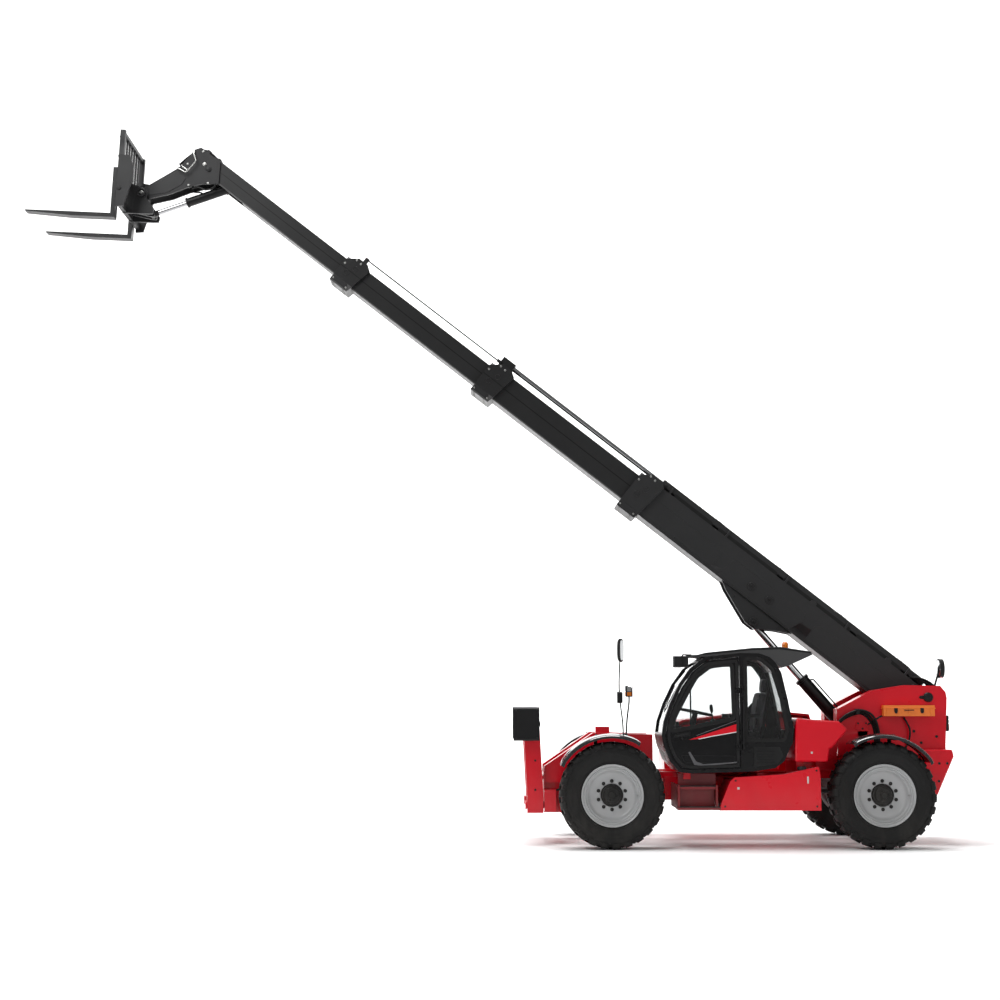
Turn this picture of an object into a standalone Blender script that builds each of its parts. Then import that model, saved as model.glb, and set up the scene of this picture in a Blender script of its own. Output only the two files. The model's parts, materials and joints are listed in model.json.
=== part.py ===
"""Telehandler with a four-section boom, built as named sub-parts in metres, +Z up.

The machine's front is -X and its left side, where the cab stands, is -Y.  Machine
coordinates start at the front axle's centre line on the ground; the root empty moves
them so that the row's origin is the bottom centre of the whole.
The boom's own frame has its origin on the boom pivot, -X along the boom and +Z its top.
"""

import math

import bmesh
import bpy
from mathutils import Matrix, Vector

# ---------------------------------------------------------------- overall sizes
WHEEL_BASE = 3.0
TYRE_R = 0.5875
TYRE_W = 0.41
WIDTH = 2.42
RIM_R = 0.3325
KING_PIN_IN = 0.165          # king pin, inboard of the wheel's centre plane
GAP = 0.0004                 # running and seating gap between separate pieces
PIN_GAP = 0.0008             # room round a pin that turns in its bore

# frame and tower
RAIL_IN, RAIL_OUT = 0.27, 0.37
RAIL_BOTTOM, RAIL_TOP = 0.745, 1.0
FRAME_FRONT, FRAME_REAR = -0.735, 3.60
TOWER_IN, TOWER_OUT = 0.27, 0.47
TAIL_X = 3.93
DECK_TOP = 1.262

# boom
PIVOT = (3.695, 1.667)
BOOM_ANGLE = 38.1
BOOM_REAR = -0.10
SEC_FRONT = (4.20, 6.43, 8.62, 10.70)
SEC_LENGTH = (4.30, 4.55, 4.85, 5.00)
SEC_HALF = (0.170, 0.143, 0.117, 0.093)
SEC_BOTTOM = (-0.335, -0.305, -0.288, -0.262)
SEC_TOP = (0.095, 0.050, 0.008, -0.022)
SEC_WALL = (0.010, 0.010, 0.009, 0.009)
COLLAR_LENGTH = 0.26
COLLAR_LIP = (0.045, 0.045, 0.040)
LIFT_PIN = (2.077, -0.50)
LIFT_BASE = (3.297, 0.762)
LIFT_BARREL = 1.49
CHEEK_IN = 0.095             # half the room between the cheeks that hold the lift cylinder's eye
LIFT_R, LIFT_ROD_R = 0.075, 0.043
TOP_CYL = (0.05, 3.88)
TOP_ROD_R = 0.030
TOP_ROD_LENGTH = 4.43

# head, carriage and forks
HEAD_PIVOT = (11.081, -0.937)
TILT_PIN = (10.866, -1.040)
TILT_BASE = (10.30, -0.150)
TILT_BARREL = 0.62
TILT_R, TILT_ROD_R = 0.055, 0.032
CARRIAGE_TIP = 2.5
CARRIAGE_HALF = 0.56
BACKREST_TOP = 0.66
FORK_LENGTH = 1.02
FORK_Y = 0.45
FORK_W = 0.13
FORK_T = 0.05
FORK_TOP = -0.363
FORK_FACE = -0.283

# cab, on the left
CAB_OUT, CAB_IN = -1.15, -0.29
CAB_WALL = 0.05
DOOR_T = 0.045
CAB_SIDE = (
    (0.551, 1.240), (0.575, 1.120), (0.640, 0.960), (0.740, 0.845), (0.860, 0.829),
    (1.560, 0.850), (1.800, 0.885), (1.905, 0.960), (2.005, 1.180), (2.020, 1.310),
    (1.958, 1.646), (1.894, 1.935), (1.838, 2.040), (1.764, 2.110), (1.650, 2.150),
    (1.445, 2.154), (1.050, 2.112), (0.880, 1.990), (0.750, 1.811), (0.645, 1.596),
    (0.575, 1.400),
)
DOOR_HINGE_X = 1.425
DOOR_AXIS = (1.430, -1.166)
DOOR_HINGES_Z = (1.12, 1.74)

# engine pod, on the right
POD_X = (0.74, 2.30)
POD_Y = (0.50, 1.17)
POD_BOTTOM, POD_TOP = 0.55, 0.98
HOOD_TOP = 1.52

# stabilisers
STAB_X = (-0.930, -0.745)
STAB_Y, STAB_Z = 0.50, 0.45
STAB_EAR = (0.13, 0.35)      # the leg's cylinder pin, inboard of and up from its hinge
STAB_BASE = (0.36, 0.72)     # the cylinder's base pin on the far side, out and up
PAD_DROP = 0.915             # from leg hinge up to pad hinge, stowed
PAD_OUT = 0.10

# wheel guards
GUARD_R = 0.655
GUARD_T = 0.015

ORIGIN_X = None              # set below from the fork tips and the tail


def collection(name, hidden=False):
    found = bpy.data.collections.new(name)
    bpy.context.scene.collection.children.link(found)
    found.hide_render = hidden
    return found


def clear():
    for item in list(bpy.data.objects):
        bpy.data.objects.remove(item)


clear()
PARTS = collection("telehandler")
TOOLS = collection("shaping_tools", hidden=True)
MATERIALS = {}


def paint(name, colour, roughness, metallic=0.0):
    mat = bpy.data.materials.new(name)
    mat.use_nodes = True
    shader = mat.node_tree.nodes["Principled BSDF"]
    shader.inputs["Base Color"].default_value = (*colour, 1.0)
    shader.inputs["Roughness"].default_value = roughness
    shader.inputs["Metallic"].default_value = metallic
    MATERIALS[name] = mat


for row in (
    ("body_red", (0.60, 0.008, 0.018), 0.28), ("boom_grey", (0.045, 0.045, 0.047), 0.42),
    ("collar_grey", (0.10, 0.10, 0.10), 0.45), ("frame_black", (0.02, 0.02, 0.021), 0.5),
    ("cab_grey", (0.035, 0.036, 0.038), 0.4), ("rim_silver", (0.55, 0.56, 0.57), 0.35, 0.6),
    ("tyre_rubber", (0.018, 0.018, 0.018), 0.85), ("chrome", (0.75, 0.75, 0.76), 0.12, 1.0),
    ("cast_iron", (0.06, 0.06, 0.062), 0.6, 0.5), ("glass", (0.30, 0.36, 0.36), 0.05),
    ("trim_black", (0.02, 0.02, 0.02), 0.35), ("seat_cloth", (0.03, 0.03, 0.032), 0.9),
    ("beacon_orange", (0.9, 0.22, 0.02), 0.25), ("lamp_lens", (0.8, 0.8, 0.78), 0.1),
    ("box_orange", (0.85, 0.16, 0.02), 0.35),
):
    paint(*row)


def empty(name, location, parent=None, turn_y=0.0):
    found = bpy.data.objects.new(name, None)
    found.empty_display_size = 0.1
    PARTS.objects.link(found)
    found.parent = parent
    found.location = location
    found.rotation_euler = (0.0, math.radians(turn_y), 0.0)
    return found


# ---------------------------------------------------------------- shapes as point and face lists
def prism(outline, y0, y1):
    """An XZ outline carried along Y."""
    count = len(outline)
    points = [(x, y, z) for y in (y0, y1) for x, z in outline]
    faces = [tuple(range(count)), tuple(range(2 * count - 1, count - 1, -1))]
    faces += [(i, i + count, (i + 1) % count + count, (i + 1) % count) for i in range(count)]
    return points, faces


def block(x, y, z):
    return prism([(x[0], z[0]), (x[1], z[0]), (x[1], z[1]), (x[0], z[1])], *y)


def slab(outline, z0, z1):
    """An XY outline carried along Z."""
    points, faces = prism(outline, z0, z1)
    return [(x, z, y) for x, y, z in points], faces


def plate_x(outline, x0, x1):
    """A YZ outline carried along X."""
    points, faces = prism(outline, x0, x1)
    return [(y, x, z) for x, y, z in points], faces


def frame_of(direction):
    axis = Vector(direction).normalized()
    side = Vector((0, 1, 0)) if abs(axis.y) < 0.9 else Vector((1, 0, 0))
    first = axis.cross(side).normalized()
    return axis, first, axis.cross(first)


def rod(start, end, radius, steps=20, bore=0.0):
    """A round bar, or a tube when it has a bore."""
    axis, first, second = frame_of(Vector(end) - Vector(start))
    rings = [(start, radius), (end, radius)]
    if bore:
        rings += [(end, bore), (start, bore)]
    points = []
    for centre, size in rings:
        for i in range(steps):
            turn = 2 * math.pi * i / steps
            points.append(tuple(Vector(centre) + size * (math.cos(turn) * first + math.sin(turn) * second)))
    faces = []
    spans = len(rings) if bore else len(rings) - 1
    for k in range(spans):
        a, b = k * steps, ((k + 1) % len(rings)) * steps
        faces += [(a + i, a + (i + 1) % steps, b + (i + 1) % steps, b + i) for i in range(steps)]
    if not bore:
        faces += [tuple(range(steps - 1, -1, -1)), tuple(range(steps, 2 * steps))]
    return points, faces


def lathe(profile, centre, axis=(0, 1, 0), steps=48):
    """A closed loop of (radius, along) turned about an axis; radius 0 makes a single point."""
    line, first, second = frame_of(axis)
    points, index = [], []
    for radius, along in profile:
        base = Vector(centre) + along * line
        if radius < 1e-9:
            index.append([len(points)] * steps)
            points.append(tuple(base))
            continue
        index.append(list(range(len(points), len(points) + steps)))
        for i in range(steps):
            turn = 2 * math.pi * i / steps
            points.append(tuple(base + radius * (math.cos(turn) * first + math.sin(turn) * second)))
    faces = []
    for k in range(len(profile)):
        a, b = index[k], index[(k + 1) % len(profile)]
        if a[0] == a[1] and b[0] == b[1]:
            continue
        for i in range(steps):
            j = (i + 1) % steps
            corner = [a[i], a[j], b[j], b[i]]
            faces.append(tuple(dict.fromkeys(corner)))
    return points, faces


def arc_band(centre, r0, r1, from_deg, to_deg, y0, y1, steps=14):
    """A curved band around a Y axis, between two radii and two angles up from +X."""
    turns = [math.radians(from_deg + (to_deg - from_deg) * i / steps) for i in range(steps + 1)]
    outline = [(centre[0] + r1 * math.cos(t), centre[1] + r1 * math.sin(t)) for t in turns]
    outline += [(centre[0] + r0 * math.cos(t), centre[1] + r0 * math.sin(t)) for t in reversed(turns)]
    return prism(outline, y0, y1)


def disc(centre, radius, y0, y1, steps=32):
    return rod((centre[0], y0, centre[1]), (centre[0], y1, centre[1]), radius, steps)


def mesh_object(name, shape, parent, home):
    points, faces = shape
    body = bmesh.new()
    verts = [body.verts.new(p) for p in points]
    for face in faces:
        body.faces.new([verts[i] for i in face])
    bmesh.ops.recalc_face_normals(body, faces=body.faces)
    if body.calc_volume(signed=True) < 0:
        bmesh.ops.reverse_faces(body, faces=body.faces)
    mesh = bpy.data.meshes.new(name)
    body.to_mesh(mesh)
    body.free()
    found = bpy.data.objects.new(name, mesh)
    home.objects.link(found)
    found.parent = parent
    return found


def solid(name, shape, material, parent, adds=(), cuts=(), smooth=True, bevel=0.0):
    """One sub-part: a first shape, shapes joined to it, then shapes cut from it."""
    found = mesh_object(name, shape, parent, PARTS)
    found.data.materials.append(MATERIALS[material])
    for kind, shapes in (("UNION", adds), ("DIFFERENCE", cuts)):
        for i, extra in enumerate(shapes):
            tool = mesh_object(f"{name}.{kind.lower()}_{i}", extra, parent, TOOLS)
            tool.hide_render = True
            tool.display_type = "WIRE"
            change = found.modifiers.new(f"{kind.lower()}_{i}", "BOOLEAN")
            change.operation = kind
            change.solver = "EXACT"
            change.object = tool
    if smooth:
        found.data.shade_smooth()
        found.data.set_sharp_from_angle(angle=math.radians(32))
    if bevel:
        edge = found.modifiers.new("soft_edges", "BEVEL")
        edge.width = bevel
        edge.segments = 1
        edge.limit_method = "ANGLE"
        edge.angle_limit = math.radians(40)
    return found


def add_shape(found, label, shape, kind, parent):
    """One more shape joined to or cut from a sub-part, after those it was made with."""
    tool = mesh_object(f"{found.name}.{label}", shape, parent, TOOLS)
    tool.hide_render = True
    tool.display_type = "WIRE"
    change = found.modifiers.new(label, "BOOLEAN")
    change.operation = kind
    change.solver = "EXACT"
    change.object = tool


def mirror_y(shape):
    points, faces = shape
    return [(x, -y, z) for x, y, z in points], faces


def sided(shape, side):
    """The shape for the left side (side -1) or turned over to the right (side +1)."""
    return shape if side < 0 else mirror_y(shape)


def inset(outline, distance):
    """A closed outline moved inwards by the same distance on every edge."""
    count = len(outline)
    area = sum(outline[i][0] * outline[(i + 1) % count][1] - outline[(i + 1) % count][0] * outline[i][1]
               for i in range(count))
    turn = 1.0 if area > 0 else -1.0
    moved = []
    for i in range(count):
        a, b, c = (Vector(outline[(i + k) % count]) for k in (-1, 0, 1))
        d0, d1 = (b - a).normalized(), (c - b).normalized()
        n0, n1 = Vector((-d0.y, d0.x)) * turn, Vector((-d1.y, d1.x)) * turn
        half = (n0 + n1).normalized()
        moved.append(tuple(b + half * (distance / max(half.dot(n0), 0.3))))
    return moved


# ---------------------------------------------------------------- frames of reference
def boom_to_machine(s, n):
    a = math.radians(BOOM_ANGLE)
    return (PIVOT[0] - math.cos(a) * s + math.sin(a) * n, PIVOT[1] + math.sin(a) * s + math.cos(a) * n)


def local_boom(points):
    """(along, up) pairs in the boom's frame, as outline points."""
    return [(-s, n) for s, n in points]


HEAD_X, HEAD_Z = boom_to_machine(*HEAD_PIVOT)
FORK_TIP_X = HEAD_X + ((FORK_FACE - FORK_LENGTH) * math.cos(math.radians(CARRIAGE_TIP))
                       + (FORK_TOP - 0.016) * math.sin(math.radians(CARRIAGE_TIP)))
ORIGIN_X = 0.5 * (FORK_TIP_X + TAIL_X)
ROOT = empty("machine_frame", (-ORIGIN_X, 0.0, 0.0))
BOOM = empty("boom_frame", (PIVOT[0], 0.0, PIVOT[1]), ROOT, BOOM_ANGLE)
CARRIAGE = empty("carriage_frame", (HEAD_X, 0.0, HEAD_Z), ROOT, CARRIAGE_TIP)


# ---------------------------------------------------------------- wheels and axles
TYRE_PROFILE = (
    (0.3049, 0.1452), (0.3340, 0.1512), (0.342, 0.174), (0.400, 0.198), (0.475, 0.205), (0.553, 0.194), (TYRE_R, 0.150),
)
RIM_LOOP = (
    (0.3325, 0.163), (0.3325, 0.152), (0.3045, 0.146), (0.3025, 0.060), (0.280, 0.030), (0.280, -0.060),
    (0.3025, -0.090), (0.3045, -0.146), (0.3325, -0.152), (0.3325, -0.163), (0.318, -0.163),
    (0.266, -0.055), (0.266, 0.028), (0.105, 0.028), (0.105, -0.110), (0.0, -0.110), (0.0, 0.150),
    (0.085, 0.150), (0.120, 0.125), (0.120, 0.050), (0.272, 0.050), (0.290, 0.136), (0.318, 0.163),
)
HUB_FACE = 0.110


def tyre_loop():
    half = list(TYRE_PROFILE)
    scale = TYRE_W / 0.41
    full = [(r, w * scale) for r, w in half] + [(r, -w * scale) for r, w in reversed(half)]
    return full


def wheel(label, x, side):
    out = WIDTH / 2 - TYRE_W / 2
    centre = (x, side * out, TYRE_R)
    axis = (0, side, 0)
    lift = RIM_R / 0.3325
    rim = [(r * lift if r > 0.2 else r, w) for r, w in RIM_LOOP]
    solid(f"rim_{label}", lathe(rim, centre, axis, 36), "rim_silver", ROOT)
    bead = [(r * lift if r < 0.34 else r, w) for r, w in tyre_loop()]
    solid(f"tyre_{label}", lathe(bead, centre, axis, 36), "tyre_rubber", ROOT)


def knuckle(label, x, side):
    """The stub that turns on the king pin, with the arm that carries the wheel guard."""
    wheel_y = WIDTH / 2 - TYRE_W / 2
    pin_y = wheel_y - KING_PIN_IN
    face = wheel_y - HUB_FACE - GAP
    rear = 1 if x > 1 else -1

    def at(shape):
        return sided(shape, side)

    body = at(block((x - 0.085, x + 0.085), (-face + 0.0, -(pin_y - 0.085)), (TYRE_R - 0.12, TYRE_R + 0.12)))
    arm_y = (-(pin_y - 0.055), -(pin_y - 0.078))
    adds = [
        at(rod((x, -pin_y, TYRE_R - 0.195), (x, -pin_y, TYRE_R + 0.195), 0.034, 20)),
        at(block(sorted((x + rear * 0.07, x + rear * 0.18)), (arm_y[0], arm_y[1]), (TYRE_R - 0.03, TYRE_R + 0.05))),
    ]
    arm_x = sorted((x + rear * 0.14, x + rear * 0.18))
    arm_top = TYRE_R + math.sqrt((GUARD_R - 0.0012) ** 2 - 0.18 ** 2)
    adds.append(at(block(arm_x, arm_y, (TYRE_R - 0.02, arm_top - 0.004))))
    adds.append(at(block(arm_x, (-(wheel_y + 0.08), arm_y[1] - 0.002), (arm_top - 0.026, arm_top))))
    solid(f"knuckle_{label}", body, "cast_iron", ROOT, adds)
    low, high = (33.0, 121.0) if x > 1 else (61.0, 150.0)
    outer = WIDTH / 2
    guard = arc_band((x, TYRE_R), GUARD_R, GUARD_R + GUARD_T, low, high, -outer, -(outer - TYRE_W), 16)
    solid(f"mudguard_{label}", at(guard), "trim_black", ROOT)


def axle(label, x):
    """The beam with a fork at each end that holds the king pins."""
    pin_y = WIDTH / 2 - TYRE_W / 2 - KING_PIN_IN
    adds, cuts = [], []
    for side in (-1, 1):
        adds.append(sided(block((x - 0.08, x + 0.08), (-(pin_y - 0.15), -(pin_y - 0.25)),
                                (TYRE_R - 0.185, TYRE_R + 0.185)), side))
        for up in (-1, 1):
            z = sorted((TYRE_R + up * 0.130, TYRE_R + up * 0.183))
            adds.append(sided(block((x - 0.055, x + 0.055), (-(pin_y + 0.055), -(pin_y - 0.16)), z), side))
        cuts.append(sided(rod((x, -pin_y, TYRE_R - 0.3), (x, -pin_y, TYRE_R + 0.3), 0.034 + PIN_GAP, 20), side))
    adds.append(lathe([(0.0, -0.19), (0.10, -0.17), (0.145, -0.06), (0.145, 0.06), (0.10, 0.17), (0.0, 0.19)],
                      (x, 0.0, TYRE_R - 0.03), (0, 1, 0), 24))
    for side in (-1, 1):
        adds.append(block((x - 0.10, x + 0.10), sorted((side * RAIL_IN, side * RAIL_OUT)),
                          (TYRE_R, RAIL_BOTTOM - GAP)))
    beam = rod((x, -(pin_y - 0.20), TYRE_R), (x, pin_y - 0.20, TYRE_R), 0.092, 24)
    solid(f"axle_{label}", beam, "frame_black", ROOT, adds, cuts)


for axle_name, axle_x in (("front", 0.0), ("rear", WHEEL_BASE)):
    axle(axle_name, axle_x)
    for side_name, side_sign in (("left", -1), ("right", 1)):
        wheel(f"{axle_name}_{side_name}", axle_x, side_sign)
        knuckle(f"{axle_name}_{side_name}", axle_x, side_sign)


# ---------------------------------------------------------------- frame, tower and bodywork
def frame():
    rail = [(FRAME_FRONT + 0.10, RAIL_BOTTOM), (FRAME_REAR - 0.05, RAIL_BOTTOM), (FRAME_REAR - 0.05, RAIL_TOP),
            (2.14, RAIL_TOP), (2.08, 0.82), (FRAME_FRONT + 0.10, 0.82)]
    nose = [(-0.734, 0.70), (-0.734, 0.88), (-0.17, DECK_TOP), (0.515, DECK_TOP - 0.018),
            (0.515, 0.93), (-0.10, 0.93), (-0.42, 0.70)]
    adds = [prism(rail, RAIL_IN, RAIL_OUT)]
    for side in (-1, 1):
        adds.append(sided(prism(nose, -0.46, -(RAIL_IN + 0.003)), side))
        adds.append(block((0.66, 2.28), sorted((side * 0.20, side * 0.385)), (0.50, RAIL_BOTTOM + 0.02)))
    adds += [
        block((FRAME_FRONT, -0.45), (-0.42, 0.42), (0.36, 0.80)),
        block((0.64, 0.76), (-0.33, 0.33), (0.495, 0.80)),
        block((2.20, 2.32), (-0.33, 0.33), (0.495, 0.80)),
        block((FRAME_REAR - 0.22, FRAME_REAR), (-0.42, 0.42), (0.50, RAIL_TOP - 0.002)),
        # outriggers under the cab, the tank and the engine pod
        block((0.80, 0.88), (-1.02, -0.30), (0.76, 0.8287)),
        block((1.62, 1.70), (-1.02, -0.30), (0.76, 0.8287)),
        block((2.06, 2.14), (-1.02, -0.30), (0.80, 0.9567)),
        block((1.00, 1.08), (0.30, 1.10), (0.47, 0.5496)),
        block((2.00, 2.08), (0.30, 1.10), (0.47, 0.5496)),
        block((-0.14, 0.02), (-0.44, -0.32), (DECK_TOP - 0.02, DECK_TOP + 0.07)),
    ]
    for side in (-1, 1):
        adds.append(sided(rod((FRAME_FRONT + 0.05, -STAB_Y, STAB_Z), (STAB_X[0] - 0.004, -STAB_Y, STAB_Z), 0.035, 20),
                          side))
        adds.append(sided(rod((STAB_X[0] - 0.003, -STAB_Y, STAB_Z), (STAB_X[0] - 0.022, -STAB_Y, STAB_Z), 0.052, 20),
                          side))
        adds.append(sided(block((FRAME_FRONT + 0.0005, -0.60), (-0.57, -0.40), (0.38, 0.62)), side))
        base_x = cylinder_x(side)
        base_y, base_z = STAB_BASE
        if side < 0:
            adds.append(rod((FRAME_FRONT + 0.05, base_y, base_z), (base_x - 0.028, base_y, base_z), 0.022, 16))
            continue
        # the front cylinder's base stands on an arm that passes under the rear one
        arm_y = (-base_y - 0.026, -base_y + 0.010)
        adds.append(block((base_x - 0.050, FRAME_FRONT + 0.02), arm_y, (0.42, 0.47)))
        adds.append(block((base_x - 0.050, base_x - 0.028), arm_y, (0.43, base_z + 0.035)))
        adds.append(rod((base_x - 0.040, -base_y, base_z), (base_x + 0.030, -base_y, base_z), 0.022, 16))
    # lugs of the lift cylinder's base pin
    for side in (-1, 1):
        lug = [(LIFT_BASE[0] - 0.09, LIFT_BASE[1] + 0.09), (LIFT_BASE[0] + 0.16, LIFT_BASE[1] + 0.09),
               (LIFT_BASE[0] + 0.16, LIFT_BASE[1] - 0.10), (LIFT_BASE[0] - 0.05, LIFT_BASE[1] - 0.10)]
        adds.append(sided(prism(lug, -0.125, -0.085), side))
    adds.append(rod((LIFT_BASE[0], -0.12, LIFT_BASE[1]), (LIFT_BASE[0], 0.12, LIFT_BASE[1]), 0.035, 20))
    cuts = [block((FRAME_REAR - 0.26, FRAME_REAR - 0.10), (-0.0845, 0.0845), (0.40, RAIL_TOP + 0.1))]
    solid("chassis_frame", prism(rail, -RAIL_OUT, -RAIL_IN), "body_red", ROOT, adds, cuts, smooth=False)


def cylinder_x(side):
    """The two stabiliser cylinders cross in front of the frame, one ahead of the other."""
    return -0.800 if side < 0 else -0.885


TOWER_SIDE = (
    (2.64, RAIL_TOP + GAP), (2.64, 1.53), (2.92, 1.676), (3.06, 1.746), (3.435, 1.807), (3.841, 1.799),
    (3.900, 1.728), (3.912, 1.660), (3.880, 1.12), (3.880, 1.075), (FRAME_REAR - 0.04, 1.075),
    (FRAME_REAR - 0.04, RAIL_TOP + GAP),
)


def tower():
    adds = [prism(TOWER_SIDE, TOWER_IN, TOWER_OUT)]
    adds.append(block((3.70, 3.86), (-0.30, 0.30), (1.08, 1.20)))
    adds.append(rod((PIVOT[0], -0.20, PIVOT[1]), (PIVOT[0], 0.20, PIVOT[1]), 0.045, 24))
    for side in (-1, 1):
        adds.append(sided(rod((PIVOT[0], -(TOWER_IN + 0.02), PIVOT[1]), (PIVOT[0], -0.1755, PIVOT[1]), 0.10, 28),
                          side))
        adds.append(sided(block((3.87, 3.925), (-0.46, -0.32), (1.28, 1.46)), side))
    adds.append(rod((3.855, -0.37, 2.0), (3.90, -0.37, 2.0), 0.11, 24))
    adds.append(rod((3.80, -0.37, 1.79), (3.86, -0.37, 1.98), 0.012, 12))
    solid("boom_tower", prism(TOWER_SIDE, -TOWER_OUT, -TOWER_IN), "body_red", ROOT, adds)
    tail = [(FRAME_REAR + GAP, 0.56), (3.73, 0.56), (TAIL_X, 0.995), (3.915, 1.0745), (FRAME_REAR + GAP, 1.0745)]
    solid("counterweight", prism(tail, -0.62, 0.62), "body_red", ROOT, bevel=0.012)


def bodywork():
    tank = [(1.18, 0.425), (2.300, 0.425), (2.300, 0.800), (2.285, 0.900), (2.262, 0.900), (1.90, 0.820),
            (1.35, 0.785), (1.300, 0.740), (1.20, 0.500)]
    solid("side_tank", prism(tank, -1.16, -0.3854), "body_red", ROOT,
          [block((0.72, 1.19), (-1.17, -0.95), (0.43, 0.46)), block((0.72, 1.165), (-1.13, -0.92), (0.655, 0.685)),
           block((0.725, 0.745), (-1.15, -0.3858), (0.435, 0.70)),
           block((1.145, 1.1645), (-1.15, -0.3858), (0.435, 0.70))],
          [block((1.19, 2.4), (-1.04, -0.2), (0.7595, 0.95)), block((1.19, 2.4), (-0.60, -0.2), (0.30, 0.95))],
          bevel=0.010)
    shoulder = [(2.025 + GAP * 8, 0.957), (2.388, 0.957), (2.408, 1.099), (2.443, 1.116), (2.616, 1.310),
                (2.52, 1.400), (2.05, 1.436), (2.035, 1.30)]
    solid("rear_cover_left", prism(shoulder, -1.15, -0.50), "body_red", ROOT, bevel=0.015)
    pod_floor = [(POD_X[0], POD_BOTTOM), (POD_X[1], POD_BOTTOM), (POD_X[1], POD_TOP), (POD_X[0], POD_TOP)]
    solid("engine_pod", prism(pod_floor, POD_Y[0], POD_Y[1]), "body_red", ROOT,
          [block((0.80, 2.26), (0.4300, POD_Y[0] + 0.01), (0.5505, 0.97)), block((0.85, 2.21), (0.386, 0.44), (0.56, 0.74)),
           prism([(0.82, 0.96), (2.24, 0.96), (2.42, 1.44), (1.00, 1.34), (0.82, 1.26)], 0.4600, POD_Y[0] - 0.005)],
          [block((POD_X[0] + 0.03, POD_X[1] - 0.03), (POD_Y[0] + 0.03, POD_Y[1] - 0.03), (POD_BOTTOM + 0.03, 2.0))])
    hood = [(POD_X[0], POD_TOP + GAP), (POD_X[1], POD_TOP + GAP), (POD_X[1] + 0.26, 1.30), (POD_X[1] + 0.20, 1.47),
            (POD_X[1] - 0.30, HOOD_TOP), (POD_X[0] + 0.22, 1.40), (POD_X[0], 1.26)]
    solid("engine_hood", prism(hood, POD_Y[0], POD_Y[1]), "body_red", ROOT,
          cuts=[prism(inset(hood, 0.028), POD_Y[0] - 0.03, POD_Y[1] - 0.03),
                block((POD_X[0] + 0.03, POD_X[1] - 0.03), (POD_Y[0] - 0.03, POD_Y[1] - 0.03), (POD_TOP - 0.1, 1.2))],
          bevel=0.012)
    solid("engine_block", block((1.05, 2.00), (0.62, 1.02), (POD_BOTTOM + 0.0304, 1.20)), "cast_iron", ROOT,
          [block((1.15, 1.85), (0.70, 0.95), (1.15, 1.32)), rod((2.0, 0.82, 0.85), (2.12, 0.82, 0.85), 0.18, 20)])


frame()
tower()
bodywork()


# ---------------------------------------------------------------- cab
def cab():
    inner = inset(CAB_SIDE, CAB_WALL)
    door_hole = clip_door(inset(CAB_SIDE, 0.040), DOOR_HINGE_X)
    quarter = [(1.50, 2.085), (1.66, 2.078), (1.78, 1.98), (1.88, 1.64), (1.935, 1.32), (1.905, 1.20), (1.50, 1.20)]
    cuts = [prism(inner, CAB_OUT + 0.045, CAB_IN - 0.03)]
    cuts.append(prism(door_hole, CAB_OUT - 0.1, CAB_OUT + 0.1))
    cuts.append(prism(quarter, CAB_OUT - 0.1, CAB_OUT + 0.1))
    right = [(0.72, 1.32), (1.86, 1.32), (1.80, 1.90), (1.70, 2.04), (1.05, 2.02), (0.85, 1.80)]
    cuts.append(prism(right, CAB_IN - 0.1, CAB_IN + 0.1))
    wide = (CAB_OUT + 0.075, CAB_IN - 0.06)
    cuts.append(prism([(0.40, 1.27), (0.70, 1.27), (1.18, 2.06), (0.60, 2.06)], *wide))
    cuts.append(prism([(1.80, 1.30), (2.2, 1.30), (2.1, 1.95), (1.75, 1.95)], *wide))
    cuts.append(block((1.10, 1.62), wide, (2.03, 2.30)))
    found = solid("cab_frame", prism(CAB_SIDE, CAB_OUT, CAB_IN), "cab_grey", ROOT, cuts=cuts)
    for i, z in enumerate(DOOR_HINGES_Z):
        x, y = DOOR_AXIS
        add_shape(found, f"hinge_block_{i}", block((x + 0.004, x + 0.045), (y - 0.006, CAB_OUT + 0.01), (z - 0.055, z + 0.055)),
                  "UNION", ROOT)
        add_shape(found, f"hinge_room_{i}", rod((x, y, z - 0.0305), (x, y, z + 0.0305), 0.021, 16), "DIFFERENCE", ROOT)
        add_shape(found, f"hinge_pin_{i}", rod((x, y, z - 0.054), (x, y, z + 0.054), 0.008, 12), "UNION", ROOT)


def clip_door(outline, edge_x):
    """The part of a closed outline in front of a vertical line."""
    kept = []
    count = len(outline)
    for i in range(count):
        a, b = outline[i], outline[(i + 1) % count]
        if a[0] <= edge_x:
            kept.append(a)
        if (a[0] - edge_x) * (b[0] - edge_x) < 0:
            t = (edge_x - a[0]) / (b[0] - a[0])
            kept.append((edge_x, a[1] + t * (b[1] - a[1])))
    return kept


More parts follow.
